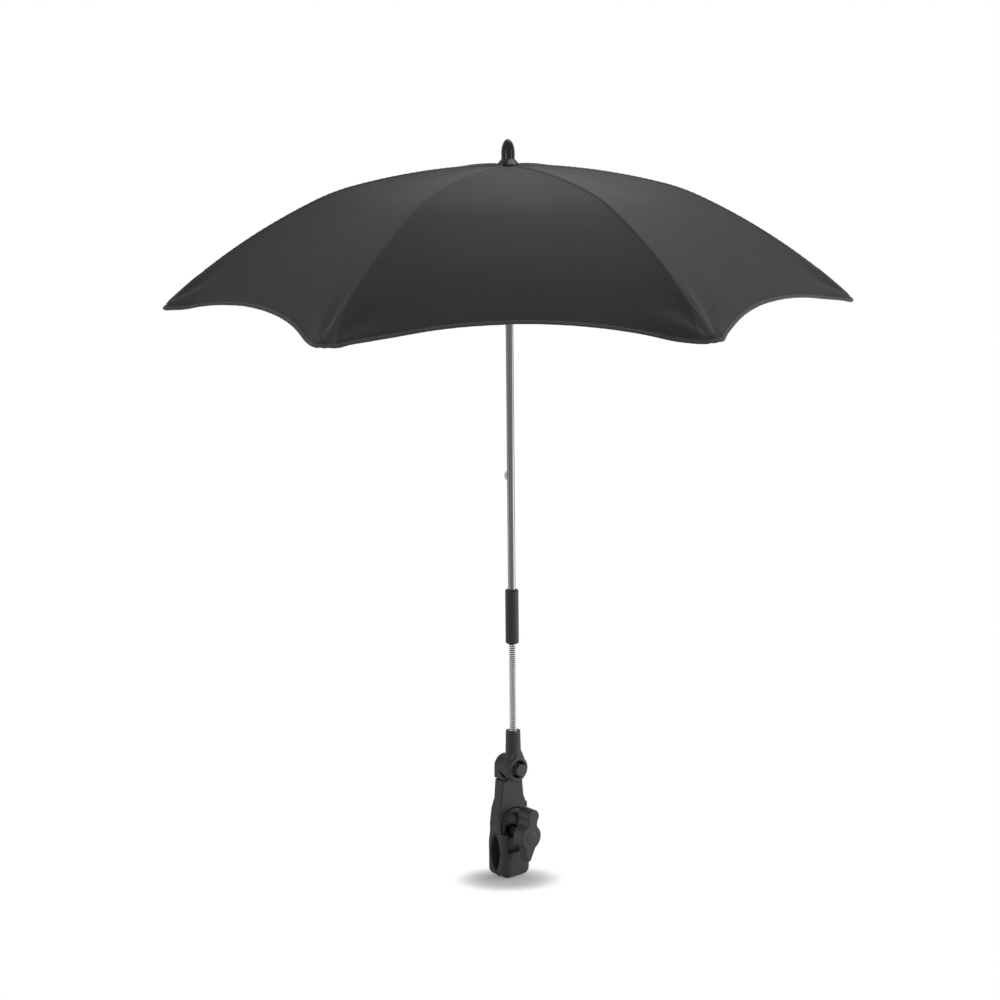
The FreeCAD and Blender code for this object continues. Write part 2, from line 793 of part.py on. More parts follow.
def pole_socket():
    ear = rod("ear", "ear_radius", "ear_thickness", hinge_point(EAR_FRONT), "y")
    front = value(EAR_FRONT)
    ear = soften("ear_soft", ear, "ear_round", lambda p, d: p.y < front + TOUCH)
    narrowing = "(socket_base_radius - socket_top_radius) / (socket_length - button_pocket_radius)"
    flare_top_radius = f"socket_base_radius - {narrowing} * (flare_height - button_pocket_radius)"
    cone = taper(
        "socket_flare_cone",
        "flare_base_radius",
        flare_top_radius,
        "flare_height - flare_base_height",
        on_axis("hinge_height + flare_base_height"),
    )
    slab = block(
        "socket_flare_slab",
        ("-flare_base_radius", "flare_base_radius"),
        (f"{EAR_FRONT} + ear_round", EAR_BACK),
        ("hinge_height", SOCKET_TOP),
    )
    flare = common("socket_flare", cone, slab)
    barrel = taper(
        "socket_barrel",
        "socket_base_radius",
        "socket_top_radius",
        "socket_length - button_pocket_radius",
        on_axis("hinge_height + button_pocket_radius"),
    )
    swing = rod("swing_room", "disc_radius + swing_gap", "disc_thickness", hinge_point(EAR_BACK), "y")
    upper = cut("socket_upper", fuse("socket_blank", flare, barrel), swing)
    hub = rod("pivot_hub", "pivot_radius", "pivot_length", hinge_point(EAR_BACK), "y")
    solid = fuse("socket_solid", ear, upper, hub)
    pocket = rod(
        "button_pocket", "button_pocket_radius", "button_pocket_depth", hinge_point(EAR_FRONT), "y"
    )
    stem_room = keyed_stem(
        "stem_room", "stem_radius + running_gap", "stem_flat + 2 * running_gap", POCKET_FLOOR, SEAT_FRONT
    )
    ferrule_base = f"({LOWER_FLOOR} - ferrule_floor)"
    room = rod(
        "lower_ferrule_room", "ferrule_radius", "ferrule_depth + ferrule_floor", on_axis(ferrule_base)
    )
    keep(cut("pole_socket", solid, pocket, stem_room, room), "pole_socket")


def tilt_button():
    head = rod(
        "button_head", "button_radius", f"{BUTTON_BACK} - {BUTTON_FRONT}", hinge_point(BUTTON_FRONT), "y"
    )
    front = value(BUTTON_FRONT)
    head = soften("button_head_soft", head, "button_round", lambda p, d: p.y < front + TOUCH)
    stem = keyed_stem("button_stem", "stem_radius", "stem_flat", BUTTON_BACK, SEAT_FRONT)
    screw_front = f"({CONE_BACK} - lock_screw_length)"
    screw_room = rod(
        "button_screw_room", "lock_screw_radius", "lock_screw_length", hinge_point(screw_front), "y"
    )
    keep(cut("tilt_button", fuse("button_solid", head, stem), screw_room), "tilt_button")
    cone = taper(
        "cone_blank", "cone_small_radius", "cone_large_radius", "cone_length", hinge_point(SEAT_FRONT), "y"
    )
    cone_hole = rod("cone_hole", "lock_screw_radius", "cone_length", hinge_point(SEAT_FRONT), "y")
    keep(cut("lock_cone", cone, cone_hole), "lock_cone")
    shank = rod("screw_shank", "lock_screw_radius", "lock_screw_length", hinge_point(screw_front), "y")
    screw_head = rod("screw_head", "lock_screw_head_radius", "lock_screw_head", hinge_point(CONE_BACK), "y")
    keep(fuse("lock_screw", shank, screw_head), "lock_screw")


def arc_between(start, corner, end):
    """The arc whose end tangents meet at the corner point."""
    middle = (start + end) / 2
    half = (end - start).Length / 2
    rise = corner - middle
    sagitta = half * math.tan(math.atan2(rise.Length, half) / 2)
    return Part.Arc(start, middle + rise.normalize() * sagitta, end).toShape()


def biarc(start, start_way, end, end_way):
    """Two arcs that join two points and follow a direction at each."""
    chord = end - start
    ways = start_way + end_way
    spare = 4 - ways.dot(ways)
    along = chord.dot(ways)
    reach = (math.sqrt(along**2 + spare * chord.dot(chord)) - along) / spare
    first = start + start_way * reach
    last = end - end_way * reach
    join = (first + last) / 2
    return [arc_between(start, first, join), arc_between(join, last, end)]


def winding(radius, pitch, turns, base):
    """A helix about Z as biarcs of half a turn, with its first point and direction."""
    slope = math.atan2(pitch, 2 * math.pi * radius)

    def point(angle):
        return Vector(
            radius * math.cos(angle), radius * math.sin(angle), base + pitch * angle / (2 * math.pi)
        )

    def way(angle):
        flat = math.cos(slope)
        return Vector(-math.sin(angle) * flat, math.cos(angle) * flat, math.sin(slope))

    edges = []
    for half in range(round(2 * turns)):
        here, there = half * math.pi, (half + 1) * math.pi
        edges += biarc(point(here), way(here), point(there), way(there))
    return edges, point(0), way(0)


def tube(edges, start, way, wire):
    shell = Part.BRepOffsetAPI.MakePipeShell(Part.Wire(edges))
    shell.add(Part.Wire(Part.makeCircle(wire / 2, start, way)))
    shell.build()
    shell.makeSolid()
    return shell.shape()


# Points taken on each arc of a wound wire to measure the gap between turns
GAP_SAMPLES = 8


def least_gap(edges, wire, turn_length):
    """The smallest clear distance between neighbouring turns, measured on points along the wire."""
    points, travel = [], 0.0
    for edge in edges:
        span = edge.LastParameter - edge.FirstParameter
        for i in range(GAP_SAMPLES):
            share = i / GAP_SAMPLES
            points.append((travel + edge.Length * share, edge.valueAt(edge.FirstParameter + span * share)))
        travel += edge.Length
    gap = math.inf
    for i, (here, a) in enumerate(points):
        for there, b in points[i + 1 :]:
            apart = there - here
            if apart > 3 * turn_length:
                break
            if apart > turn_length / 2:
                gap = min(gap, a.distanceToPoint(b) - wire)
    return gap


def lock_spring():
    wire, radius, turns = size("spring_wire"), size("spring_radius"), size("spring_turns")
    length = value(f"{POCKET_FLOOR} - {BUTTON_BACK}")
    pitch = (length - wire) / turns
    edges, start, way = winding(radius, pitch, turns, wire / 2)
    print("lock_spring least gap", round(least_gap(edges, wire, 2 * math.pi * radius), 2))
    place = Placement(Vector(0, value(BUTTON_BACK), size("hinge_height")), TURNS["y"])
    shape_part("lock_spring", tube(edges, start, way, wire), place)


def neck_coil():
    """The wound wire of the gooseneck; each end bends down to stand square on its ferrule's floor."""
    wire, radius, bend = size("coil_wire"), size("coil_radius"), size("coil_bend")
    height = value(f"{UPPER_FLOOR} - {LOWER_FLOOR}")
    slope = math.atan2(size("coil_pitch"), 2 * math.pi * radius)
    base = wire + bend * math.cos(slope)
    turns = round((height - 2 * base) / size("coil_pitch"))
    pitch = (height - 2 * base) / turns
    edges, start, way = winding(radius, pitch, turns, base)
    slope = math.atan2(pitch, 2 * math.pi * radius)
    centre = start + Vector(0, math.sin(slope), -math.cos(slope)) * bend
    lean = math.radians(135) + slope / 2
    halfway = centre + Vector(0, math.cos(lean), math.sin(lean)) * bend
    foot = centre + Vector(0, -bend, 0)
    ground = Vector(foot.x, foot.y, 0)
    low = [Part.LineSegment(ground, foot).toShape(), Part.Arc(foot, halfway, start).toShape()]

    def mirrored(point):
        return Vector(point.x, -point.y, height - point.z)

    high = [
        Part.Arc(mirrored(start), mirrored(halfway), mirrored(foot)).toShape(),
        Part.LineSegment(mirrored(foot), mirrored(ground)).toShape(),
    ]
    route = low + edges + high
    print("neck_coil turns", turns, "least gap", round(least_gap(route, wire, 2 * math.pi * radius), 2))
    solid = tube(route, ground, Vector(0, 0, 1), wire)
    shape_part(
        "neck_coil", solid, Placement(Vector(0, -size("pole_offset"), value(LOWER_FLOOR)), Rotation())
    )


def gooseneck():
    top = f"({SOCKET_TOP} - ferrule_inset)"
    base = f"({LOWER_FLOOR} - ferrule_floor)"
    outer = rod("lower_ferrule_blank", "ferrule_radius", f"{top} - {base}", on_axis(base))
    bore = rod("lower_ferrule_bore", "ferrule_bore", "ferrule_depth", on_axis(LOWER_FLOOR))
    keep(cut("neck_lower_ferrule", outer, bore), "neck_lower_ferrule")
    start = f"({SLEEVE_BASE} + ferrule_inset)"
    outer = rod(
        "upper_ferrule_blank", "ferrule_radius", f"{UPPER_FLOOR} + ferrule_floor - {start}", on_axis(start)
    )
    bore = rod("upper_ferrule_bore", "ferrule_bore", "ferrule_depth", on_axis(SLEEVE_BASE))
    keep(cut("neck_upper_ferrule", outer, bore), "neck_upper_ferrule")
    keep(
        rod("neck_core", "core_radius", f"{UPPER_FLOOR} - {LOWER_FLOOR}", on_axis(LOWER_FLOOR)), "neck_core"
    )
    neck_coil()


def neck_sleeve():
    ferrule_top = f"({UPPER_FLOOR} + ferrule_floor)"
    outline = [
        ("ferrule_radius", SLEEVE_BASE),
        ("sleeve_radius - sleeve_chamfer", SLEEVE_BASE),
        ("sleeve_radius", f"{SLEEVE_BASE} + sleeve_chamfer"),
        ("sleeve_radius", f"{SLEEVE_TOP} - sleeve_chamfer"),
        ("sleeve_radius - sleeve_chamfer", SLEEVE_TOP),
        ("pole_radius", SLEEVE_TOP),
        ("pole_radius", POLE_BASE),
        ("0", POLE_BASE),
        ("0", ferrule_top),
        ("ferrule_radius", ferrule_top),
    ]
    keep(turned("neck_sleeve", outline, on_axis("0")), "neck_sleeve")


def rib_angle(k):
    return f"(canopy_turn + {k} * 360 / rib_count)"


def radial_block(name, angle, near, far, width, low, high):
    """A box that runs outwards from the pole axis at a given angle."""
    obj = doc.addObject("Part::Box", name)
    cosine, sine = f"cos({angle} * 1 deg)", f"sin({angle} * 1 deg)"
    at = (
        f"({near}) * {cosine} + ({width}) / 2 * {sine}",
        f"({near}) * {sine} - ({width}) / 2 * {cosine} - pole_offset",
        low,
    )
    bind(obj, {"Length": f"({far}) - ({near})", "Width": width, "Height": f"({high}) - ({low})"}, at)
    obj.Placement.Rotation = Rotation(Vector(0, 0, 1), value(angle))
    obj.setExpression("Placement.Rotation.Angle", bound(angle))
    return obj


def ring_cut(name, wide, narrow, low, high):
    length = f"({high}) - ({low})"
    return cut(
        name,
        rod(f"{name}_wide", wide, length, on_axis(low)),
        rod(f"{name}_narrow", narrow, length, on_axis(low)),
    )


RIBS = range(round(size("rib_count")))
CATCH_ANGLE = rib_angle(2)
TOP_CATCH = f"({RUNNER_BASE} - top_catch_gap - catch_radius)"
BOTTOM_CATCH = f"({SLEEVE_TOP} + bottom_catch_rise)"
CATCH_CENTRE = "(pole_radius + catch_proud - catch_radius)"


def catch(name, height):
    """A half-moon plate that springs out through a slot in the pole."""
    disc = doc.addObject("Part::Cylinder", f"{name}_disc")
    bind(disc, {"Radius": "catch_radius", "Height": "catch_thickness"})
    cosine, sine = f"cos({CATCH_ANGLE} * 1 deg)", f"sin({CATCH_ANGLE} * 1 deg)"
    upright = Rotation(Vector(0, 0, 1), value(CATCH_ANGLE)).multiply(Rotation(Vector(1, 0, 0), 90))
    disc.Placement.Rotation = upright
    at = (
        f"{CATCH_CENTRE} * {cosine} - catch_thickness / 2 * {sine}",
        f"{CATCH_CENTRE} * {sine} + catch_thickness / 2 * {cosine} - pole_offset",
        height,
    )
    for letter, text in zip("xyz", at):
        disc.setExpression(f"Placement.Base.{letter}", bound(text))
    low, high = f"{height} - catch_radius", f"{height} + catch_radius"
    keep_side = radial_block(
        f"{name}_side", CATCH_ANGLE, "catch_gap", "2 * catch_radius", "2 * catch_thickness", low, high
    )
    keep(common(name, disc, keep_side), name)


def pole():
    tube_blank = rod("pole_blank", "pole_radius", f"{POLE_TOP} - {POLE_BASE}", on_axis(POLE_BASE))
    bore = rod("pole_bore", "pole_radius - pole_wall", f"{POLE_TOP} - {POLE_BASE}", on_axis(POLE_BASE))
    reach = f"(sqrt(catch_radius ^ 2 - (pole_radius - pole_wall - {CATCH_CENTRE}) ^ 2) + catch_gap)"
    slots = [
        radial_block(
            f"{name}_slot",
            CATCH_ANGLE,
            "catch_gap",
            "2 * pole_radius",
            "catch_thickness + 2 * catch_gap",
            f"{height} - {reach}",
            f"{height} + {reach}",
        )
        for name, height in (("top_catch", TOP_CATCH), ("bottom_catch", BOTTOM_CATCH))
    ]
    keep(cut("pole", tube_blank, bore, *slots), "pole")
    catch("top_catch", TOP_CATCH)
    catch("bottom_catch", BOTTOM_CATCH)


def crown():
    blank = rod("crown_blank", "crown_radius", "crown_height", on_axis(CROWN_BASE))
    spigot = rod(
        "crown_spigot", "spigot_radius", f"apex_height + spigot_length - {CROWN_TOP}", on_axis(CROWN_TOP)
    )
    seat = rod("crown_seat_room", "pole_radius", "crown_seat", on_axis(CROWN_BASE))
    groove = ring_cut(
        "crown_groove",
        "ring_radius + ring_wire / 2 + catch_gap / 2",
        "ring_radius - ring_wire / 2 - catch_gap / 2",
        f"{PIVOT} - ring_wire / 2",
        CROWN_TOP,
    )
    slots = [
        radial_block(
            f"crown_slot_{k + 1}",
            rib_angle(k),
            "slot_floor_radius",
            "2 * crown_radius",
            "rib_width + 2 * slot_gap",
            f"{CROWN_BASE} - cut_margin",
            f"{CROWN_TOP} + cut_margin",
        )
        for k in RIBS
    ]
    keep(cut("crown", fuse("crown_solid", blank, spigot), seat, groove, *slots), "crown")
    wire = doc.addObject("Part::Torus", "crown_wire")
    keep(bind(wire, {"Radius1": "ring_radius", "Radius2": "ring_wire / 2"}, on_axis(PIVOT)), "crown_wire")
    disc = rod("crown_washer_disc", "washer_disc_radius", "washer_disc_thickness", on_axis(CROWN_TOP))
    hole = rod("crown_washer_hole", "spigot_radius", "washer_disc_thickness", on_axis(CROWN_TOP))
    keep(cut("crown_washer", disc, hole), "crown_washer")


def finial():
    flange = rod("finial_base", "finial_flange_radius", "finial_flange", on_axis("apex_height"))
    foot = taper(
        "finial_foot",
        "finial_flange_radius",
        "finial_radius",
        "finial_cone",
        on_axis("apex_height + finial_flange"),
    )
    shank = rod("finial_barrel", "finial_radius", "finial_shank", on_axis("apex_height"))
    nose = doc.addObject("Part::Ellipsoid", "finial_nose")
    rise = "finial_height - finial_shank"
    bind(
        nose,
        {"Radius1": rise, "Radius2": "finial_radius", "Radius3": "finial_radius"},
        on_axis("apex_height + finial_shank"),
    )
    nose_room = rod("finial_nose_room", "finial_radius", rise, on_axis("apex_height + finial_shank"))
    nose = common("finial_nose_half", nose, nose_room)
    bore = rod("finial_bore", "spigot_radius", "spigot_length", on_axis("apex_height"))
    keep(cut("finial", fuse("finial_solid", flange, foot, shank, nose), bore), "finial")


def runner():
    body = rod("runner_tube", "runner_radius", "runner_length", on_axis(RUNNER_BASE))
    collar_base = f"({RUNNER_PIVOT} - collar_below)"
    collar = rod("runner_collar", "collar_radius", f"{RUNNER_TOP} - {collar_base}", on_axis(collar_base))
    bore = rod("runner_bore", "pole_radius + running_gap", "runner_length", on_axis(RUNNER_BASE))
    groove = ring_cut(
        "runner_groove",
        "sqrt((ring_radius + crossbar_radius + catch_gap) ^ 2 + (crossbar_length / 2) ^ 2)",
        "ring_radius - crossbar_radius - catch_gap",
        collar_base,
        f"{RUNNER_PIVOT} + crossbar_radius + catch_gap",
    )
    slots = [
        radial_block(
            f"runner_slot_{k + 1}",
            rib_angle(k),
            "slot_floor_radius",
            "2 * collar_radius",
            "eye_width + 2 * slot_gap",
            f"{collar_base} - cut_margin",
            f"{RUNNER_TOP} + cut_margin",
        )
        for k in RIBS
    ]
    keep(cut("runner", fuse("runner_solid", body, collar), bore, groove, *slots), "runner")


# Folding frame, drawn in the plane of one rib: x outwards from the pole axis, z up
def rib_plane(k):
    return Placement(Vector(0, -size("pole_offset"), 0), Rotation(Vector(0, 0, 1), value(rib_angle(k))))


def slope_way(degrees):
    """Outwards and down at an angle below the horizontal."""
    return Vector(math.cos(math.radians(degrees)), 0, -math.sin(math.radians(degrees)))


CROWN_PIVOT = Vector(size("ring_radius"), 0, value(PIVOT))
JOINT = CROWN_PIVOT + slope_way(size("open_angle")) * size("arm_length")
RIB_END = JOINT + slope_way(size("open_angle") + size("outer_kink")) * size("outer_chord")


class Bow:
    """A shallow arc, bulging up, between two points of the rib plane."""

    def __init__(self, start, end, radius):
        half = (end - start) / 2
        up = Vector(-half.z, 0, half.x).normalize()
        self.radius = radius
        self.centre = start + half - up * math.sqrt(radius**2 - half.Length**2)
        self.first = self.angle(start)
        self.last = self.angle(end)

    def angle(self, point):
        return math.atan2(point.z - self.centre.z, point.x - self.centre.x)

    def point(self, along, rise=0):
        """A point at a distance along the arc from its start, raised above it."""
        angle = self.first - along / self.radius
        reach = self.radius + rise
        return self.centre + Vector(math.cos(angle), 0, math.sin(angle)) * reach

    @property
    def length(self):
        return (self.first - self.last) * self.radius

    def band(self, start, end, low, high, width):
        """A strip between two heights over a stretch of the arc, as wide as given across the rib plane."""
        middle = (start + end) / 2
        top = Part.Arc(self.point(start, high), self.point(middle, high), self.point(end, high)).toShape()
        bottom = Part.Arc(self.point(end, low), self.point(middle, low), self.point(start, low)).toShape()
        near = Part.LineSegment(self.point(start, low), self.point(start, high)).toShape()
        far = Part.LineSegment(self.point(end, high), self.point(end, low)).toShape()
        face = Part.Face(Part.Wire([top, far, bottom, near]))
        face.translate(Vector(0, -width / 2, 0))
        return face.extrude(Vector(0, width, 0))


INNER_BOW = Bow(CROWN_PIVOT, JOINT, size("inner_arc"))
OUTER_BOW = Bow(JOINT, RIB_END, size("outer_arc"))


def cross_pin(centre, radius, width):
    """A round bar across the rib plane."""
    return Part.makeCylinder(radius, width, centre - Vector(0, width / 2, 0), Vector(0, 1, 0))


def rib_shape():
    half, width, solid = size("rib_height") / 2, size("rib_width"), size("joint_solid")
    wall = size("rib_wall")
    inner = INNER_BOW.band(0, INNER_BOW.length, -half, half, width)
    outer = OUTER_BOW.band(0, OUTER_BOW.length, -half, half, width)
    eye = cross_pin(CROWN_PIVOT, size("eye_radius"), width)
    joint = cross_pin(JOINT, size("joint_radius"), width)
    blank = inner.multiFuse([outer, eye, joint])
    channel = width - 2 * wall
    hollows = [
        bow.band(solid, bow.length - solid, -half - wall, half - wall, channel)
        for bow in (INNER_BOW, OUTER_BOW)
    ]
    eye_hole = cross_pin(CROWN_PIVOT, size("eye_hole"), 2 * width)
    rivet_hole = cross_pin(JOINT, size("rivet_radius"), 2 * width)
    return blank.cut(hollows + [eye_hole, rivet_hole]).removeSplitter()


def tip_shape(rib):
    """A round-nosed cap pushed over the rib's outer end."""
    back = OUTER_BOW.point(OUTER_BOW.length - size("tip_overlap"))
    way = (RIB_END - back).normalize()
    radius, length = size("tip_radius"), size("tip_length")
    cap = Part.makeCylinder(radius, length - radius, back, way)
    nose = Part.makeSphere(radius, back + way * (length - radius))
    return cap.fuse(nose).cut(rib).removeSplitter()


def fork_outer():
    return size("rib_width") / 2 + size("fork_gap") + size("fork_cheek")


def rivet_shape():
    head = size("rivet_head")
    reach = fork_outer() + size("running_gap")
    shank = cross_pin(JOINT, size("rivet_radius"), 2 * reach)
    heads = [
        Part.makeCylinder(
            size("rivet_head_radius"), head, JOINT + Vector(0, side * reach, 0), Vector(0, side, 0)
        )
        for side in (1, -1)
    ]
    return shank.multiFuse(heads).removeSplitter()


def stretcher_shape():
    """A rod with a crossbar at the runner and a fork over the rib, drawn along X from the runner's pivot."""
    length, radius = size("arm_length"), size("rod_radius")
    outer, inner = fork_outer(), fork_outer() - size("fork_cheek")
    bridge, reach = size("fork_bridge"), size("fork_length")
    fork_base = length - reach
    origin, end = Vector(), Vector(length, 0, 0)
    eye = cross_pin(origin, size("eye_radius"), size("eye_width"))
    crossbar = cross_pin(origin, size("crossbar_radius"), size("crossbar_length"))
    bar = Part.makeCylinder(radius, fork_base + bridge / 2, origin, Vector(1, 0, 0))
    height = size("fork_height")
    fork = Part.makeBox(reach, 2 * outer, height, Vector(fork_base, -outer, -height / 2))
    fork_eye = cross_pin(end, size("eye_radius"), 2 * outer)
    slot_corner = Vector(fork_base + bridge, -inner, -height)
    slot = Part.makeBox(2 * reach, 2 * inner, 2 * height, slot_corner)
    hole = cross_pin(end, size("rivet_radius") + size("running_gap"), 4 * outer)
    blank = eye.multiFuse([crossbar, bar, fork, fork_eye]).removeSplitter()
    shape = blank.cut([slot, hole]).removeSplitter()
    runner_pivot = Vector(size("ring_radius"), 0, value(RUNNER_PIVOT))
    lift = Rotation(Vector(0, 1, 0), -size("open_angle"))
    shape.Placement = Placement(runner_pivot, lift)
    return shape


def folding_frame():
    rib = rib_shape()
    shapes = {
        "rib": rib,
        "rib_tip": tip_shape(rib),
        "stretcher_rivet": rivet_shape(),
        "stretcher": stretcher_shape(),
    }
    for name, shape in shapes.items():
        for k in RIBS:
            obj = shape_part(f"{name}_{k + 1}", shape)
            obj.Placement = rib_plane(k).multiply(shape.Placement)


def canopy_cover():
    """Six straight-ruled gores that meet over the ribs, trimmed to a scalloped hem."""
    cloth, radius = size("cloth_thickness"), RIB_END.x + size("hem_overhang")
    rise = size("rib_height") / 2 + size("cloth_gap") + cloth
    gore_half = math.radians(180 / size("rib_count"))
    narrow = math.cos(gore_half)
    apex = size("apex_height")
    over_joint = INNER_BOW.point(INNER_BOW.length, rise)
    over_middle = OUTER_BOW.point(OUTER_BOW.length / 2, rise)
    beyond = OUTER_BOW.point(OUTER_BOW.length + size("hem_overrun"), rise)

    def panel_edge(lift):
        """The gore's middle line: a crown arc that leaves the apex level, then the outer arc."""
        top = Vector(0, 0, apex + lift)
        knee = Vector(over_joint.x * narrow, 0, over_joint.z + lift)
        waist = Vector(over_middle.x * narrow, 0, over_middle.z + lift)
        hem = Vector(beyond.x * narrow, 0, beyond.z + lift)
        drop = top.z - knee.z
        bow = (knee.x**2 + drop**2) / (2 * drop)
        halfway = math.asin(knee.x / bow) / 2
        shoulder = Vector(bow * math.sin(halfway), 0, top.z - bow * (1 - math.cos(halfway)))
        return [Part.Arc(top, shoulder, knee).toShape(), Part.Arc(knee, waist, hem).toShape()], top, hem

    outer, top_outer, hem_outer = panel_edge(0)
    inner, top_inner, hem_inner = panel_edge(-cloth)
    ends = [
        Part.LineSegment(hem_outer, hem_inner).toShape(),
        Part.LineSegment(top_inner, top_outer).toShape(),
    ]
    face = Part.Face(Part.Wire(Part.__sortEdges__(outer + inner + ends)))
    reach = 2 * radius
    face.translate(Vector(0, -reach / 2, 0))
    strip = face.extrude(Vector(0, reach, 0))
    wide = Vector(reach, reach * math.tan(gore_half), 0)
    corners = [Vector(), wide, Vector(wide.x, -wide.y, 0), Vector()]
    wedge = Part.Face(Part.makePolygon(corners)).extrude(Vector(0, 0, 2 * apex))
    gore = strip.common(wedge)
    gores = []
    for k in RIBS:
        piece = gore.copy()
        piece.rotate(Vector(), Vector(0, 0, 1), math.degrees(2 * gore_half) * (k + 0.5))
        gores.append(piece)
    cover = gores[0].multiFuse(gores[1:]).removeSplitter()
    hem = hem_prism(radius, gore_half, 2 * apex)
    hole = Part.makeCylinder(size("apex_hole"), 2 * apex)
    shape = cover.common(hem).cut(hole).removeSplitter()
    shape_part("canopy_cover", shape, rib_plane(0))


def hem_prism(radius, gore_half, height):
    """The plan of the hem: a shallow hollow between ribs and a round corner over each rib, tangent to it."""
    chord = 2 * radius * math.sin(gore_half)
    depth, corner = size("scallop_depth"), size("tip_round")
    scallop = (chord**2 / 4 + depth**2) / (2 * depth)
    middle = radius * math.cos(gore_half) - depth
    centre = Vector(middle + scallop, 0, 0)
    beside = centre.x * math.sin(gore_half)
    corner_out = centre.x * math.cos(gore_half) - math.sqrt((scallop + corner) ** 2 - beside**2)
    rib_way = Vector(math.cos(gore_half), math.sin(gore_half), 0)
    tip = rib_way * (corner_out + corner)
    meet = centre + (rib_way * corner_out - centre) * (scallop / (scallop + corner))
    mirrored = Vector(meet.x, -meet.y, 0)
    edges = []
    for k in RIBS:
        here = Rotation(Vector(0, 0, 1), math.degrees(gore_half) * (2 * k + 1))
        there = Rotation(Vector(0, 0, 1), math.degrees(gore_half) * (2 * k + 3))
        hollow = [here.multVec(point) for point in (mirrored, Vector(middle, 0, 0), meet)]
        edges.append(Part.Arc(*hollow).toShape())
        edges.append(Part.Arc(hollow[-1], here.multVec(tip), there.multVec(mirrored)).toShape())
    return Part.Face(Part.Wire(edges)).extrude(Vector(0, 0, height))


clamp_body()
clamp_fittings()
clamp_jaw()
thrust_washer()
wing_knob()
pole_socket()
lock_spring()
tilt_button()
gooseneck()
neck_sleeve()
pole()
crown()
finial()
runner()
folding_frame()
canopy_cover()
doc.recompute()

faults = [obj.Name for obj in doc.Objects if {"Invalid", "Error"} & set(obj.State)]
faults += [obj.Label for obj in subparts if obj.Shape.isNull() or not obj.Shape.isValid()]
faults += [obj.Label for obj in subparts if len(obj.Shape.Solids) != 1]
if faults:
    raise RuntimeError(f"not built: {faults}")
for obj in subparts:
    obj.Shape.exportStep(f"parts/{obj.Label}.step")
print(len(subparts), "sub-parts")
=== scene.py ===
# %% [markdown]
# # A pram parasol, dressed for the picture
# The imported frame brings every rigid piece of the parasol: clamp, tilting head, gooseneck, pole,
# ribs and finial. This lesson adds what a solid modeller leaves plain: the sewn cover, the wound
# neck, and a finish for each surface. Everything is in metres and stands where the frame puts it,
# so no piece needs fitting by eye.

# %% Load the frame
import json
import math

import bpy
from mathutils import Matrix, Vector, noise


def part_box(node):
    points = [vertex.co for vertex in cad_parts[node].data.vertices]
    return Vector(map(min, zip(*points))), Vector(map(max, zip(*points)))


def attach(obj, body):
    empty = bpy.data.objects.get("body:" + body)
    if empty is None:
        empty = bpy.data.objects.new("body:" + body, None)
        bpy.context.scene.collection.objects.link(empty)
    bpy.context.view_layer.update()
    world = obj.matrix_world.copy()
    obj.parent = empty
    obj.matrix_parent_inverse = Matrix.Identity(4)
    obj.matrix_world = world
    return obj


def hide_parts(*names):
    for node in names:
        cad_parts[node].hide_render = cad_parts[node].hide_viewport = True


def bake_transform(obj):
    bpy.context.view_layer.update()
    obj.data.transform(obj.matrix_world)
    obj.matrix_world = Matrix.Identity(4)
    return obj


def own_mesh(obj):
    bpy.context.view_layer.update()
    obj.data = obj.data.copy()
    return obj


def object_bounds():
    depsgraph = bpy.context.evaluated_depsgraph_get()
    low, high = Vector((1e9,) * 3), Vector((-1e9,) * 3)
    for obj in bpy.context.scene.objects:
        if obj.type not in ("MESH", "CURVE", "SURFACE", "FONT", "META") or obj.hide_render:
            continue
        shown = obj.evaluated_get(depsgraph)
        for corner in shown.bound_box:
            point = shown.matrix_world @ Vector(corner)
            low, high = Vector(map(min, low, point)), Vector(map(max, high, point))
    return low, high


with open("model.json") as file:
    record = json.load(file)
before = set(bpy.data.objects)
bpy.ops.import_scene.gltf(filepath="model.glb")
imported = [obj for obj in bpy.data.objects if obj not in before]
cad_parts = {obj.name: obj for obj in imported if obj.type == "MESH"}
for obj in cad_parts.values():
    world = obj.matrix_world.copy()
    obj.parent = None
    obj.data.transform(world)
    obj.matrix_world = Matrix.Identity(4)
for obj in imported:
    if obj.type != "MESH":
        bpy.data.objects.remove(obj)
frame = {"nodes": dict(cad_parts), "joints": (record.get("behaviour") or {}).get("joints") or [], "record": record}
CAD_BOX = [list(corner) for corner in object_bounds()]
NODES = frame["nodes"]
JOINTS = {joint["name"]: joint for joint in frame["joints"]}
RIBS = range(1, 7)

# %% [markdown]
# ## Places that the frame gives
# The pole axis is where the neck bends, and each rib's plane is known from its two joints. Reading
# them from the frame keeps the cover on its ribs if the part is made in another size.

# %% Pole axis, rib directions and the joint ring
POLE_Y = JOINTS["neck_bend_upper"]["pos_m"][1]


def from_pole(point):
    """Distance from the pole axis and compass angle of a point, with its height."""
    across, deep = point[0], point[1] - POLE_Y
    return math.hypot(across, deep), math.atan2(deep, across), point[2]


PIVOT_RADIUS, FIRST_RIB, _ = from_pole(JOINTS["rib_1_hinge"]["pos_m"])
JOINT_RADIUS, _, JOINT_HEIGHT = from_pole(JOINTS["stretcher_1_hinge"]["pos_m"])
RIB_STEP = 2 * math.pi / len(RIBS)
GORE_HALF = RIB_STEP / 2
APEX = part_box("canopy_cover")[1].z


def rib_angle(k):
    """Compass angle of rib k."""
    return FIRST_RIB + (k - 1) * RIB_STEP


print("rib ring", round(JOINT_RADIUS, 4), "apex", round(APEX, 4))

# %% [markdown]
# ## Helpers for modelling
# An operator works on whatever is selected, so a new piece starts with nothing selected. A finished
# piece sits at the origin with its place in its mesh, as the frame's own nodes do.


# %% Small helpers
def clear_selection():
    if bpy.context.mode != "OBJECT":
        bpy.ops.object.mode_set(mode="OBJECT")
    bpy.ops.object.select_all(action="DESELECT")


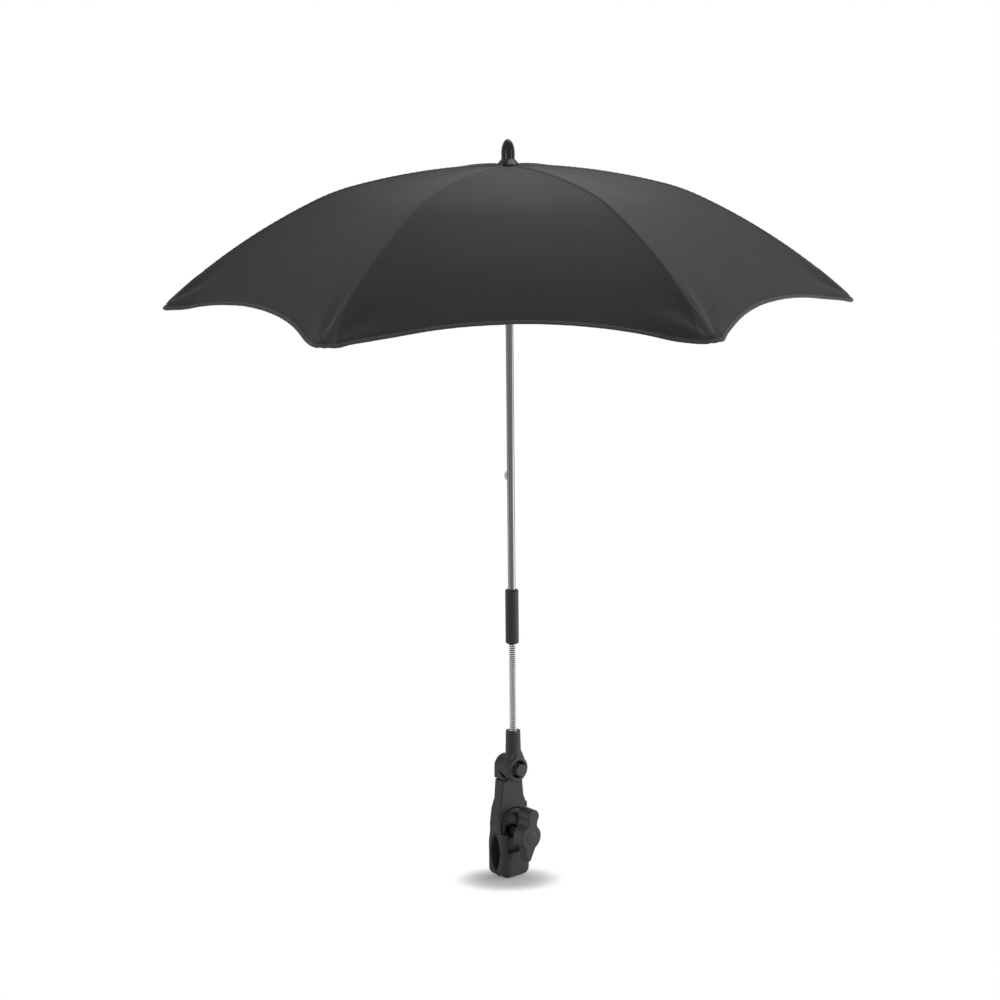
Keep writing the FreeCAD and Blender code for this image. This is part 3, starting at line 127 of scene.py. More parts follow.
def pick(piece):
    clear_selection()
    piece.select_set(True)
    bpy.context.view_layer.objects.active = piece
    return piece


def add_modifier(piece, kind, **settings):
    """Adds a modifier, sets it and applies it."""
    pick(piece)
    modifier = piece.modifiers.new(kind.lower(), kind)
    for name, setting in settings.items():
        setattr(modifier, name, setting)
    bpy.ops.object.modifier_apply(modifier=modifier.name)


def smooth(piece, degrees):
    pick(piece)
    bpy.ops.object.shade_smooth_by_angle(angle=math.radians(degrees))


def settle(piece, name, material):
    """Names a finished piece, places it in its mesh and gives it its finish."""
    pick(piece)
    bpy.ops.object.transform_apply(location=True, rotation=True, scale=True)
    piece.name = name
    piece.data.name = name
    piece.data.materials.clear()
    piece.data.materials.append(material)
    return piece


# %% [markdown]
# ## Shader maths
# A finish is a handful of numbers that change over a surface. Wrapping a socket in a small class
# lets them be written as sums and products, and each sum adds its own Math node.


# %% A socket that can be reckoned with
class Field:
    """A shader socket with the arithmetic that the finishes use."""

    def __init__(self, tree, socket):
        self.tree = tree
        self.socket = socket

    def node(self, kind, output, inputs, **settings):
        """Any other node: its type, the output wanted, its inputs and its settings."""
        made = self.tree.nodes.new(kind)
        for name, setting in settings.items():
            setattr(made, name, setting)
        for key, given in inputs.items():
            if isinstance(given, Field):
                self.tree.links.new(given.socket, made.inputs[key])
            else:
                made.inputs[key].default_value = given
        return Field(self.tree, made.outputs[output])

    def reckon(self, operation, *operands):
        return self.node("ShaderNodeMath", 0, dict(enumerate(operands)), operation=operation)

    def __add__(self, other):
        return self.reckon("ADD", self, other)

    def __sub__(self, other):
        return self.reckon("SUBTRACT", self, other)

    def __rsub__(self, other):
        return self.reckon("SUBTRACT", other, self)

    def __mul__(self, other):
        return self.reckon("MULTIPLY", self, other)

    __radd__ = __add__
    __rmul__ = __mul__

    def between(self, low, high):
        """Eases from 0 at low to 1 at high."""
        spread = {"Value": self, "From Min": low, "From Max": high}
        return self.node("ShaderNodeMapRange", 0, spread, interpolation_type="SMOOTHSTEP")

    def tint(self, dark, light):
        """A colour between two, by this share."""
        return self.node("ShaderNodeMix", 2, {0: self, 6: dark, 7: light}, data_type="RGBA")

    def speckle(self, scale, detail=2.0, rough=0.5):
        """Cloudy noise over this place, from 0 to 1."""
        given = {"Vector": self, "Scale": scale, "Detail": detail, "Roughness": rough}
        return self.node("ShaderNodeTexNoise", 0, given)

    def stretched(self, x, y, z):
        return self.node("ShaderNodeMapping", 0, {"Vector": self, "Scale": (x, y, z)})

    def bump(self, depth, strength, under=None):
        """This height as a bump of a depth in metres, over a normal that may be given."""
        given = {"Height": self, "Distance": depth, "Strength": strength}
        if under is not None:
            given["Normal"] = under
        return self.node("ShaderNodeBump", 0, given)

    def dot(self, other):
        """The dot product with another vector, so how far this one reaches along it."""
        pair = {0: self, 1: other}
        return self.node("ShaderNodeVectorMath", "Value", pair, operation="DOT_PRODUCT")


# %% [markdown]
# ## Starting a finish
# Every finish starts the same way: a new material, its fixed values, and the coordinates that its
# pattern reads. The values that vary over the surface are linked in at the end.


# %% Starting a finish
def grey(level, warm=0.0):
    return (level + warm, level, level - warm, 1.0)


def finish(name, coordinates="Object", **constants):
    """A new material, its shader with the constants set, and the coordinates of its pattern."""
    material = bpy.data.materials.new(name)
    material.use_nodes = True
    tree = material.node_tree
    shader = tree.nodes["Principled BSDF"]
    for socket, value in constants.items():
        shader.inputs[socket.replace("_", " ")].default_value = value
    place = Field(tree, tree.nodes.new("ShaderNodeTexCoord").outputs[coordinates])
    return material, shader, place


def feed(shader, **fields):
    for socket, field in fields.items():
        field.tree.links.new(field.socket, shader.inputs[socket.replace("_", " ")])


# %% [markdown]
# ## Moulded plastic of the clamp
# The clamp and its head are moulded in a dark grey plastic with a fine spark-eroded grain: satin,
# never mirror-like, a touch lighter where edges are rubbed. The grain is a small bump, and the
# edges are softened by a Bevel node, which rounds the light over an edge without touching the
# frame's mesh. An Ambient Occlusion node paints shade into the colour of the pockets, where little
# light reaches.


# %% Moulded plastic
def moulded(name, colour, gloss, edge=0.0007, grain=2600):
    """Satin plastic with a fine grain, pale where it is rubbed, with painted shade in its pockets."""
    material, shader, place = finish(name, Specular_IOR_Level=0.13)
    rounded = place.node("ShaderNodeBevel", 0, {"Radius": edge}, samples=6)
    worn = 1 - rounded.dot(place.node("ShaderNodeNewGeometry", "Normal", {}))
    pits = place.speckle(grain, 2.0, 0.6)
    cloud = place.speckle(55.0, 3.0)
    rubbed = worn.between(0.01, 0.16) * cloud.between(0.3, 0.7)
    # Painted shade: an occlusion mask that darkens the base colour in pockets and gaps.
    painted_pocket_shade = place.node(
        "ShaderNodeAmbientOcclusion", "AO", {"Distance": 0.014}, samples=8, only_local=True
    )
    shade = (cloud * 0.5 + pits * 0.3 + rubbed * 0.55).between(0.0, 1.35)
    shade = shade.tint(grey(colour * 0.82), grey(colour * 1.32))
    feed(
        shader,
        # Base colour: grain and rubbed edges, with painted shade in the pockets.
        Base_Color=painted_pocket_shade.between(0.25, 0.85).tint(grey(colour * 0.06), shade),
        Roughness=pits * 0.14 + cloud * 0.1 + (gloss - 0.12) - rubbed * 0.08,
        Normal=pits.bump(0.00006, 0.55, rounded),
    )
    return material


CLAMP_PLASTIC = moulded("clamp_plastic", 0.064, 0.46)
KNOB_PLASTIC = moulded("knob_plastic", 0.074, 0.42)
SLEEVE_PLASTIC = moulded("sleeve_plastic", 0.056, 0.44, edge=0.0005, grain=3200)
FRAME_NYLON = moulded("frame_nylon", 0.024, 0.38, edge=0.0004)
print("plastics", CLAMP_PLASTIC.name, KNOB_PLASTIC.name, SLEEVE_PLASTIC.name, FRAME_NYLON.name)

# %% [markdown]
# ## Gloss black finial
# The finial is polished black plastic: a nearly black base with a sharp gloss and hairline marks
# from handling. One even gloss would look like glass, so a noise drawn out along the pole breaks
# the reflections a little, as handling does.

# %% Gloss black plastic
GLOSS_BLACK, shader, place = finish("finial_gloss", Specular_IOR_Level=0.26)
streaks = place.stretched(1.0, 1.0, 0.15).speckle(900.0, 3.0)
feed(
    shader,
    Base_Color=streaks.tint(grey(0.003), grey(0.006)),
    Roughness=streaks * 0.03 + 0.04,
    Normal=streaks.bump(0.00001, 0.25),
)
print("gloss", GLOSS_BLACK.name)

# %% [markdown]
# ## Chrome, zinc and wire
# The pole and the neck's wire are bright chrome over steel; ribs and stretchers are zinc plated,
# duller and cloudier, and the rivets are blacked. All are full metals, told apart by colour,
# roughness and the direction of their fine drawing marks. One function makes them all, because
# nothing else differs.


# %% Metals
def plated(name, colour, rough, along, cloudiness, marks=0.06):
    """Plated steel with drawing marks that run along one axis."""
    material, shader, place = finish(name, Metallic=1.0)
    drawn = place.stretched(*along).speckle(2200.0, 3.0, 0.6)
    cloud = place.speckle(140.0, 4.0, 0.6)
    spots = place.speckle(900.0, 2.0).between(0.68, 0.80)
    shade = cloud * cloudiness + drawn * 0.2
    feed(
        shader,
        Base_Color=shade.tint(grey(colour * 0.72, -0.004), grey(colour, 0.002)),
        Roughness=cloud * 0.5 * cloudiness + drawn * marks + spots * 0.08 + rough,
        Normal=drawn.bump(0.00001, 0.3),
    )
    return material


CHROME = plated("pole_chrome", 0.16, 0.12, (1.0, 1.0, 0.03), 0.25)
ZINC = plated("zinc_steel", 0.56, 0.26, (1.0, 1.0, 1.0), 0.6, 0.10)
NECK_WIRE = plated("neck_wire", 0.78, 0.08, (1.0, 1.0, 1.0), 0.3)
BLACKED = plated("blacked_steel", 0.035, 0.40, (1.0, 1.0, 1.0), 0.4, 0.10)
# Painted shade: the core's near-black grey darkens the gaps between the neck's turns.
CORE_WIRE = plated("core_wire", 0.05, 0.45, (1.0, 1.0, 0.05), 0.5, 0.10)
print("metals", CHROME.name, ZINC.name, NECK_WIRE.name, BLACKED.name, CORE_WIRE.name)

# %% [markdown]
# ## Rubber of the jaw pads
# The pads that grip the tube are matt black rubber with fine moulded ribs across the grip. The ribs
# are a bump along the tube's direction, and their tops are a little paler in colour. They could be cut
# as geometry, but they are too fine to change an outline.

# %% Ribbed rubber
RIB_WAVE = 2900.0
PAD_RUBBER, shader, place = finish("pad_rubber", Specular_IOR_Level=0.3)
lengthwise = place.node("ShaderNodeSeparateXYZ", 0, {"Vector": place})
ribs = lengthwise.reckon("SINE", lengthwise * RIB_WAVE).between(-0.6, 0.6)
dust = place.speckle(420.0, 4.0)
feed(
    shader,
    Base_Color=(dust * 0.6 + ribs * 0.3).tint(grey(0.013), grey(0.034)),
    Roughness=dust * 0.15 + 0.72,
    Normal=(ribs * 0.8 + dust * 0.2).bump(0.00025, 0.8),
)
print("rubber", PAD_RUBBER.name)

# %% [markdown]
# ## Cloth of the cover
# The cover is a plain-woven charcoal polyester: thin, even, with a soft sheen and faint clouds
# where the coating takes the light differently. The weave follows each gore's own cut, so it reads
# a UV map laid along the gore.


# %% Woven cloth, binding and seams
def cool(level):
    """Charcoal leans a little to green."""
    return (level * 0.96, level * 1.03, level * 1.01, 1.0)


def woven(name, colour, yarn, sheen, contrast):
    """Plain weave: two sets of yarns that pass over and under each other."""
    material, shader, place = finish(
        name, "UV", Sheen_Weight=sheen, Sheen_Roughness=0.45, Specular_IOR_Level=0.10
    )
    across = place.node("ShaderNodeSeparateXYZ", 0, {"Vector": place}) * (math.pi / yarn)
    along = place.node("ShaderNodeSeparateXYZ", 1, {"Vector": place}) * (math.pi / yarn)
    over = across.reckon("SINE", across) * along.reckon("SINE", along)
    slub = place.stretched(1.0, 0.06, 1.0).speckle(900.0, 2.0)
    cloud = place.speckle(16.0, 4.0, 0.55)
    fine = place.speckle(240.0, 3.0)
    shade = (cloud * 0.55 + slub * 0.25 + fine * 0.2 + over * 0.06).between(0.25, 0.75)
    feed(
        shader,
        Base_Color=shade.tint(cool(colour * (1 - contrast)), cool(colour * (1 + contrast))),
        Roughness=slub * 0.12 + cloud * 0.12 + 0.58,
        Normal=(over * 0.5 + slub * 0.3 + fine * 0.5).bump(0.00012, 0.5),
    )
    return material


CANOPY_CLOTH = woven("canopy_cloth", 0.050, 0.0005, 0.03, 0.16)
# Painted light: the binding's grey is lighter than the cloth's, for the light its outer edge catches.
BINDING = woven("hem_binding", 0.096, 0.0007, 0.06, 0.20)
# The seam cloth is lighter than the cover: along the seams this is a painted highlight on the ridge.
SEAM_CLOTH = woven("seam_cloth", 0.076, 0.0007, 0.03, 0.18)
print("cloths", CANOPY_CLOTH.name, BINDING.name, SEAM_CLOTH.name)

# %% [markdown]
# ## The shape of the cover
# The cloth lies over six bowed ribs and is drawn straight between them, so a gore is flat across
# and bowed along, and its own tension pulls it a few millimetres hollow. One function gives the
# height over any point of the plan, and every cloth piece (gores, seams, binding, pockets) is laid
# on it, so they fit each other everywhere.

# %% Height of the cloth over a rib
OVER_RIB = 0.0036
INNER_SLOPE = math.radians(16.63)
OUTER_ARC = 0.620
OUTER_CHORD = 0.197
OUTER_SLOPE = math.radians(32.6)
KNEE_SOFT = 0.016

KNEE_RADIUS = JOINT_RADIUS + OVER_RIB * math.sin(INNER_SLOPE)
KNEE_DROP = APEX - (JOINT_HEIGHT + OVER_RIB * math.cos(INNER_SLOPE))
CROWN_ARC = (KNEE_RADIUS**2 + KNEE_DROP**2) / (2 * KNEE_DROP)
HALF_CHORD = OUTER_CHORD / 2
CHORD_RISE = math.sqrt(OUTER_ARC**2 - HALF_CHORD**2)
ARC_RADIUS = JOINT_RADIUS + HALF_CHORD * math.cos(OUTER_SLOPE) - CHORD_RISE * math.sin(OUTER_SLOPE)
ARC_HEIGHT = JOINT_HEIGHT - HALF_CHORD * math.sin(OUTER_SLOPE) - CHORD_RISE * math.cos(OUTER_SLOPE)


def rib_line(radius):
    """Height of the cloth over a rib: a crown arc that leaves the apex level, then the outer arc."""
    if radius <= KNEE_RADIUS:
        return APEX - CROWN_ARC + math.sqrt(CROWN_ARC**2 - radius**2)
    return ARC_HEIGHT + math.sqrt((OUTER_ARC + OVER_RIB) ** 2 - (radius - ARC_RADIUS) ** 2)


def soft_rib_line(radius):
    """The same line with its knee eased, as cloth eases over a joint."""
    steps = [KNEE_SOFT * k / 3 for k in range(-3, 4)]
    return sum(rib_line(abs(radius + step)) for step in steps) / len(steps)


print("crown arc", round(CROWN_ARC, 4), "knee at", round(KNEE_RADIUS, 4))

# %% [markdown]
# ## The hem in plan
# Seen from above the hem is a hollow arc across each gore and a small round at each rib's tip. The
# two arcs touch without a corner, as a pattern cutter draws them, so three sizes settle the whole
# line.

# %% Hem line
TIP_RADIUS = 0.351
TIP_ROUND = 0.025
HEM_MIDDLE = 0.2855
TIP_CENTRE = TIP_RADIUS - TIP_ROUND
SCALLOP_CENTRE = (TIP_CENTRE**2 - (HEM_MIDDLE - TIP_ROUND) ** 2) / (
    2 * (TIP_CENTRE * math.cos(GORE_HALF) + TIP_ROUND - HEM_MIDDLE)
)
SCALLOP = SCALLOP_CENTRE - HEM_MIDDLE
TIP_SHARE = TIP_ROUND / (SCALLOP + TIP_ROUND)
TIP_ANGLE = math.atan2(
    TIP_SHARE * SCALLOP_CENTRE * math.sin(GORE_HALF),
    TIP_CENTRE + TIP_SHARE * (SCALLOP_CENTRE * math.cos(GORE_HALF) - TIP_CENTRE),
)


def nearest_rib(angle):
    """The angle from the nearest rib, and which rib that is."""
    turn = (angle - FIRST_RIB) / RIB_STEP
    k = round(turn)
    return (turn - k) * RIB_STEP, k


def hem_radius(angle):
    """How far the cloth reaches from the pole: hollow between ribs, round at each rib's tip."""
    off, _ = nearest_rib(angle)
    if abs(off) < TIP_ANGLE:
        beside = TIP_CENTRE * math.sin(off)
        return TIP_CENTRE * math.cos(off) + math.sqrt(TIP_ROUND**2 - beside**2)
    turn = GORE_HALF - abs(off)
    beside = SCALLOP_CENTRE * math.sin(turn)
    return SCALLOP_CENTRE * math.cos(turn) - math.sqrt(SCALLOP**2 - beside**2)


print("hem tip", TIP_RADIUS, "hem middle", round(hem_radius(FIRST_RIB + GORE_HALF), 4))

# %% [markdown]
# ## Hollow gores, tip creases and a breath of unevenness
# Sewn cloth is never a clean formula. Tension draws creases that fan out from each tip, the gores
# hang a little hollow, the pocket holds the corner flat, and the surface breathes by a fraction of
# a millimetre. All of it is reckoned from the place alone.

# %% Cloth surface
SAG = 0.0042
SAG_REACH = 0.84
SAG_POWER = 0.9
TIP_HELD = 0.8
HELD_WITHIN = 0.024
CREASE_DEPTH = 0.0018
CREASE_FROM_TIP = 0.034
CREASE_SPREAD = 0.026
CREASE_START = 0.004
CREASE_BESIDE_RIB = 0.006
CREASE_WAVE = 9.0
CREASE_SWAY = 1.3
CREASE_TURN = 5.0
BREATHS = ((9.0, 0.0009), (31.0, 0.00025))
BREATH_LEVEL = 0.37
CALM_CROWN = 0.08
CALM_RIB = 0.2
NORMAL_STEP = 0.0015


def across_hollow(off):
    """Share of the full hollow: none over a rib, all of it halfway between two."""
    return 1 - (1 - abs(off) / GORE_HALF) ** 2


def tip_crease(angle, side, out):
    """Creases that fan out from a tip, deepest a few centimetres from it and gone on the rib."""
    fan = math.atan2(side, out + CREASE_START)
    wave = math.cos(fan * CREASE_WAVE + CREASE_SWAY * math.sin(angle * CREASE_TURN))
    far = (math.hypot(side, out) - CREASE_FROM_TIP) / CREASE_SPREAD
    return wave * math.exp(-(far**2)) * CREASE_DEPTH * min(1.0, abs(side) / CREASE_BESIDE_RIB)


def breath(radius, angle, off):
    """Slow unevenness, calm near the crown and along the ribs."""
    place = Vector((radius * math.cos(angle), radius * math.sin(angle), BREATH_LEVEL))
    uneven = sum(noise.noise(place * scale) * depth for scale, depth in BREATHS)
    free = across_hollow(off) * (1 - CALM_RIB) + CALM_RIB
    return uneven * min(1.0, radius / CALM_CROWN) * free


def cloth_point(radius, angle, lift=0.0):
    """A point of the cloth, raised above it by lift."""
    off, _ = nearest_rib(angle)
    side, out = radius * math.sin(off), TIP_RADIUS - radius * math.cos(off)
    held = TIP_HELD * math.exp(-((math.hypot(side, out) / HELD_WITHIN) ** 2))
    straight = math.cos(GORE_HALF - abs(off)) / math.cos(GORE_HALF) - 1
    line = radius * (1 + straight * (1 - held))
    reach = min(1.0, radius / hem_radius(angle) * SAG_REACH)
    hollow = SAG * across_hollow(off) * math.sin(math.pi * reach) ** SAG_POWER * (1 - held)
    height = soft_rib_line(line) - hollow + tip_crease(angle, side, out)
    height += breath(radius, angle, off)
    height += lift
    return Vector((radius * math.cos(angle), POLE_Y + radius * math.sin(angle), height))


def cloth_normal(radius, angle):
    """The cloth's upward normal."""
    out = cloth_point(radius + NORMAL_STEP, angle) - cloth_point(radius - NORMAL_STEP, angle)
    turn = NORMAL_STEP / max(radius, 0.01)
    along = cloth_point(radius, angle + turn) - cloth_point(radius, angle - turn)
    return out.cross(along).normalized()


print("crown of the cloth at", round(cloth_point(0.0, FIRST_RIB).z, 4))

# %% [markdown]
# ## Sheets as grids, folded with their rib
# Every cloth piece is a grid of points on the surface, with a UV along its own cut for the weave.
# When the frame folds, a piece rides on its rib.

# %% Sheets and their fold
UV_RIB_STEP = 0.7
UV_SIDE_STEP = 0.31
UV_SLOPE = 1.06


def grid_piece(name, rows, uv_rows, closed=False):
    """A mesh of quads from rows of points, with a UV for each point."""
    wide = len(rows[0])
    points = [point for row in rows for point in row]
    spans = wide if closed else wide - 1
    faces = []
    for i in range(len(rows) - 1):
        for j in range(spans):
            here, there = i * wide + j, i * wide + (j + 1) % wide
            faces.append((here, here + wide, there + wide, there))
    mesh = bpy.data.meshes.new(name)
    mesh.from_pydata(points, [], faces)
    uvs = [uv for row in uv_rows for uv in row]
    layer = mesh.uv_layers.new(name="cut")
    for loop in mesh.loops:
        layer.data[loop.index].uv = uvs[loop.vertex_index]
    piece = bpy.data.objects.new(name, mesh)
    bpy.context.scene.collection.objects.link(piece)
    return piece


def gore_uv(radius, angle):
    """Place on the flat gore: along its middle line and across it."""
    off, k = nearest_rib(angle)
    side = 1 if off >= 0 else -1
    turn = (abs(off) - GORE_HALF) * side
    across = k * UV_RIB_STEP + side * UV_SIDE_STEP + radius * math.sin(turn)
    return (across, radius * math.cos(turn) * UV_SLOPE)


def beside_rib(k, along, side):
    """Distance from the pole and compass angle of a place beside rib k."""
    return math.hypot(along, side), rib_angle(k) + math.atan2(side, along)


def fold_with_rib(piece, k):
    """The piece follows rib k when the frame folds."""
    angle = rib_angle(k)
    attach(piece, f"rib_arm_{k}")
    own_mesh(piece)


# %% [markdown]
# ## Six cloth sections, one to a rib
# On the real cover six gores are sewn together along the ribs. A gore hangs between two ribs that
# move apart in space, so here the cover is parted along the middle of each gore instead: each
# section then follows one rib when the frame folds, and at rest the sections share their edge
# points and read as one sheet.

# %% Cover sections
CLOTH = 0.0005
CROWN_EDGE = 0.0105
GORE_ROWS = 84
GORE_COLUMNS = 72
ROW_POWER = 1.25
EVEN_COLUMNS = 0.35
OWN_GORE = 0.99999


def column_angle(k, spread):
    """Compass angle of a column of section k, spread from -1 to 1 and crowded over the rib."""
    return rib_angle(k) + GORE_HALF * (EVEN_COLUMNS * spread + (1 - EVEN_COLUMNS) * spread**3)


def cover_section(k):
    middle = rib_angle(k)
    rows, uvs = [], []
    for i in range(GORE_ROWS + 1):
        share = 1 - (1 - i / GORE_ROWS) ** ROW_POWER
        row, uv = [], []
        for j in range(GORE_COLUMNS + 1):
            angle = column_angle(k, 2 * j / GORE_COLUMNS - 1)
            reach = CROWN_EDGE + (hem_radius(angle) - CROWN_EDGE) * share
            row.append(cloth_point(reach, angle))
            uv.append(gore_uv(reach, middle + (angle - middle) * OWN_GORE))
        rows.append(row)
        uvs.append(uv)
    piece = grid_piece(f"cover_section_{k}", rows, uvs)
    flat_area = sum(face.area for face in piece.data.polygons)
    add_modifier(piece, "SOLIDIFY", thickness=CLOTH, offset=-1.0)
    smooth(piece, 60)
    settle(piece, f"cover_section_{k}", CANOPY_CLOTH)
    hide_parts("canopy_cover")
    fold_with_rib(piece, k)
    return piece, flat_area


SECTIONS = [cover_section(k) for k in RIBS]
print("sections", len(SECTIONS), "area of one", round(SECTIONS[0][1], 4))

# %% [markdown]
# ## Bound hem
# The edge of the cover is folded into a narrow binding tape, a millimetre thick, that puckers
# slightly where it is sewn. Its section is a flat loop swept along the hem: over the top, round the
# edge and back underneath. A bevelled curve could give the loop as well, but a grid of points can
# lean with the cloth's own normal all the way round.

# %% Hem binding
TAPE_WIDTH = 0.0034
TAPE_LOOP = [
    (-TAPE_WIDTH, 0.00005),
    (-TAPE_WIDTH + 0.0004, 0.00042),
    (-0.0018, 0.00055),
    (-0.0004, 0.00050),
    (0.00045, 0.00022),
    (0.00060, -0.00030),
    (0.00040, -0.00085),
    (-0.0006, -0.00115),
    (-0.0019, -0.00118),
    (-TAPE_WIDTH + 0.0004, -0.00105),
    (-TAPE_WIDTH, -0.00070),
]
TAPE_UV = 0.0006
HEM_STEP = 0.0006
HEM_INSET = 0.001
STITCH = 0.0055
STITCH_PUCKER = 0.00012
LOOSE_PUCKER = 0.0002
LOOSE_SCALE = 70.0


def hem_point(angle):
    return cloth_point(hem_radius(angle), angle)


def hem_binding(k):
    rows, uvs, run, last = [], [], 0.0, None
    for j in range(2 * GORE_COLUMNS + 1):
        angle = column_angle(k, j / GORE_COLUMNS - 1)
        here = hem_point(angle)
        up = cloth_normal(hem_radius(angle) - HEM_INSET, angle)
        along = hem_point(angle + HEM_STEP) - hem_point(angle - HEM_STEP)
        outward = along.cross(up).normalized()
        run += (here - last).length if last else 0.0
        last = here
        pucker = STITCH_PUCKER * math.sin(run * 2 * math.pi / STITCH)
        pucker += LOOSE_PUCKER * noise.noise(here * LOOSE_SCALE)
        rows.append([here + outward * out + up * (rise + pucker) for out, rise in TAPE_LOOP])
        uvs.append([(TAPE_UV * n, run) for n in range(len(TAPE_LOOP))])
    piece = grid_piece(f"hem_binding_{k}", rows, uvs, closed=True)
    pick(piece)
    bpy.ops.object.mode_set(mode="EDIT")
    bpy.ops.mesh.select_all(action="SELECT")
    bpy.ops.mesh.normals_make_consistent(inside=False)
    bpy.ops.object.mode_set(mode="OBJECT")
    smooth(piece, 70)
    settle(piece, f"hem_binding_{k}", BINDING)
    fold_with_rib(piece, k)
    return piece, run


BINDINGS = [hem_binding(k) for k in RIBS]
print("binding runs", round(BINDINGS[0][1], 4), "m along each section")

# %% [markdown]
# ## Felled seams over the ribs
# Two gores meet over each rib in a folded seam, which shows as a narrow raised strip with a sharp
# lower edge. It is a thin strip laid on the cloth, thickest along its middle. A bump in the cloth's
# finish could hint at it, but only a raised strip catches light along its side.

# %% Rib seams
SEAM_WIDTH = 0.0054
SEAM_START = 0.0125
SEAM_STEPS = 150
SEAM_STITCH = 0.006
SEAM_PULL = 0.12
SEAM_NARROW = 0.45
SEAM_WIDENS = 0.09
INSIDE_HEM = 0.0035
SEAM_SHAPE = [
    (-0.5, -0.0002),
    (-0.30, 0.0008),
    (-0.12, 0.0013),
    (0.12, 0.0013),
    (0.30, 0.0008),
    (0.5, -0.0002),
]


def rib_seam(k):
    rows, uvs = [], []
    for i in range(SEAM_STEPS + 1):
        radius = SEAM_START + (TIP_RADIUS - INSIDE_HEM - SEAM_START) * i / SEAM_STEPS
        narrow = min(1.0, SEAM_NARROW + radius / SEAM_WIDENS)
        pull = 1.0 + SEAM_PULL * math.sin(radius * 2 * math.pi / SEAM_STITCH)
        row = []
        for across, rise in SEAM_SHAPE:
            angle = rib_angle(k) + across * SEAM_WIDTH * narrow / radius
            row.append(cloth_point(radius, angle, rise * (pull if rise > 0 else 1.0)))
        rows.append(row)
        uvs.append([(across * SEAM_WIDTH, radius) for across, _ in SEAM_SHAPE])
    piece = grid_piece(f"rib_seam_{k}", rows, uvs)
    smooth(piece, 60)
    settle(piece, f"rib_seam_{k}", SEAM_CLOTH)
    fold_with_rib(piece, k)
    return piece


SEAMS = [rib_seam(k) for k in RIBS]
print("seams", len(SEAMS))

# %% [markdown]
# ## Pockets at the tips
# Each rib ends in a plastic tip that sits in a small pocket sewn under the corner of the cover.
# From the side it gives the corner its blunt end. The pocket is a bag hung under the cloth, deepest
# along the rib and closed at the tip. It is reckoned from the cloth's own surface, so that it meets
# the cloth along both sides.

# %% Tip pockets
POCKET_LENGTH = 0.042
POCKET_HALF = 0.0135
POCKET_ROUND = 0.0105
POCKET_DEPTH = 0.0095
POCKET_RISE = 0.60
POCKET_MOUTH = 0.45
MOUTH_FROM = 0.4
POCKET_UNDER = 0.0009
POCKET_CLOTH = 0.0006
POCKET_FULLNESS = 0.55
RIPPLE = 0.0003
RIPPLE_WAVE = 900.0
RIPPLE_SKEW = 3.0
POCKET_ROWS = 24
POCKET_COLUMNS = 16


def pocket_half(left):
    """Half of the pocket's width at a distance from the tip, round at its closed end."""
    if left >= POCKET_ROUND:
        return POCKET_HALF
    return min(POCKET_HALF, math.sqrt(max(1e-9, 2 * POCKET_ROUND * left - left * left)))


def pocket_depth(left):
    """Depth of the bag at a distance from the tip, none at the tip and less at its mouth."""
    mouth = POCKET_MOUTH * max(0.0, left / POCKET_LENGTH - MOUTH_FROM) / (1 - MOUTH_FROM)
    return min(POCKET_DEPTH, POCKET_RISE * left) * (1 - mouth)


def tip_pocket(k):
    rows, uvs = [], []
    for i in range(POCKET_ROWS + 1):
        slide = (POCKET_LENGTH - POCKET_CLOTH) * math.sin(i / POCKET_ROWS * math.pi / 2)
        along = TIP_RADIUS - POCKET_LENGTH + slide
        left = TIP_RADIUS - along
        deep = pocket_depth(left) if i < POCKET_ROWS else 0.0
        row, uv = [], []
        for j in range(POCKET_COLUMNS + 1):
            across = 2 * j / POCKET_COLUMNS - 1
            side = pocket_half(left) * across
            bag = POCKET_UNDER + deep * (1 - across * across) ** POCKET_FULLNESS
            ripple = RIPPLE * math.sin(along * RIPPLE_WAVE + across * RIPPLE_SKEW)
            ripple *= 1 - across * across
            row.append(cloth_point(*beside_rib(k, along, side), -bag - ripple))
            uv.append((side, along))
        rows.append(row)
        uvs.append(uv)
    piece = grid_piece(f"tip_pocket_{k}", rows, uvs)
    add_modifier(piece, "SOLIDIFY", thickness=POCKET_CLOTH, offset=0.0)
    smooth(piece, 60)
    settle(piece, f"tip_pocket_{k}", SEAM_CLOTH)
    fold_with_rib(piece, k)
    return piece


POCKETS = [tip_pocket(k) for k in RIBS]
print("pockets", len(POCKETS), "each", POCKET_LENGTH, "m long")

# %% [markdown]
# ## Corner patches
# A three-cornered patch of the seams' cloth is sewn on each corner, over the end of the seam, to
# take the rib's push. It is a thin triangle laid on the cloth, its point towards the crown. Being a
# piece of its own, it has its own weave and its own edge.

# %% Corner patches
PATCH_LENGTH = 0.034
PATCH_HALF = 0.011
PATCH_POINT = 0.0012
PATCH_RISE = 0.0016
PATCH_FALL = 0.0011
PATCH_EDGE = 0.0002
PATCH_ROWS = 20
PATCH_COLUMNS = 16


def patch_rise(i, j):
    """Height of the patch over the cloth: thickest along the seam, thin at its edges."""
    if i in (0, PATCH_ROWS) or j in (0, PATCH_COLUMNS):
        return PATCH_EDGE
    return PATCH_RISE - PATCH_FALL * abs(2 * j / PATCH_COLUMNS - 1)


def corner_patch(k):
    rows, uvs = [], []
    for i in range(PATCH_ROWS + 1):
        share = i / PATCH_ROWS
        along = TIP_RADIUS - INSIDE_HEM - PATCH_LENGTH * (1 - share)
        half = PATCH_POINT + PATCH_HALF * share
        sides = [half * (2 * j / PATCH_COLUMNS - 1) for j in range(PATCH_COLUMNS + 1)]
        places = [beside_rib(k, along, side) for side in sides]
        rows.append([cloth_point(*place, patch_rise(i, j)) for j, place in enumerate(places)])
        uvs.append([(side, along) for side in sides])
    piece = grid_piece(f"corner_patch_{k}", rows, uvs)
    smooth(piece, 60)
    settle(piece, f"corner_patch_{k}", SEAM_CLOTH)
    fold_with_rib(piece, k)
    return piece


CORNERS = [corner_patch(k) for k in RIBS]
print("corner patches", len(CORNERS))
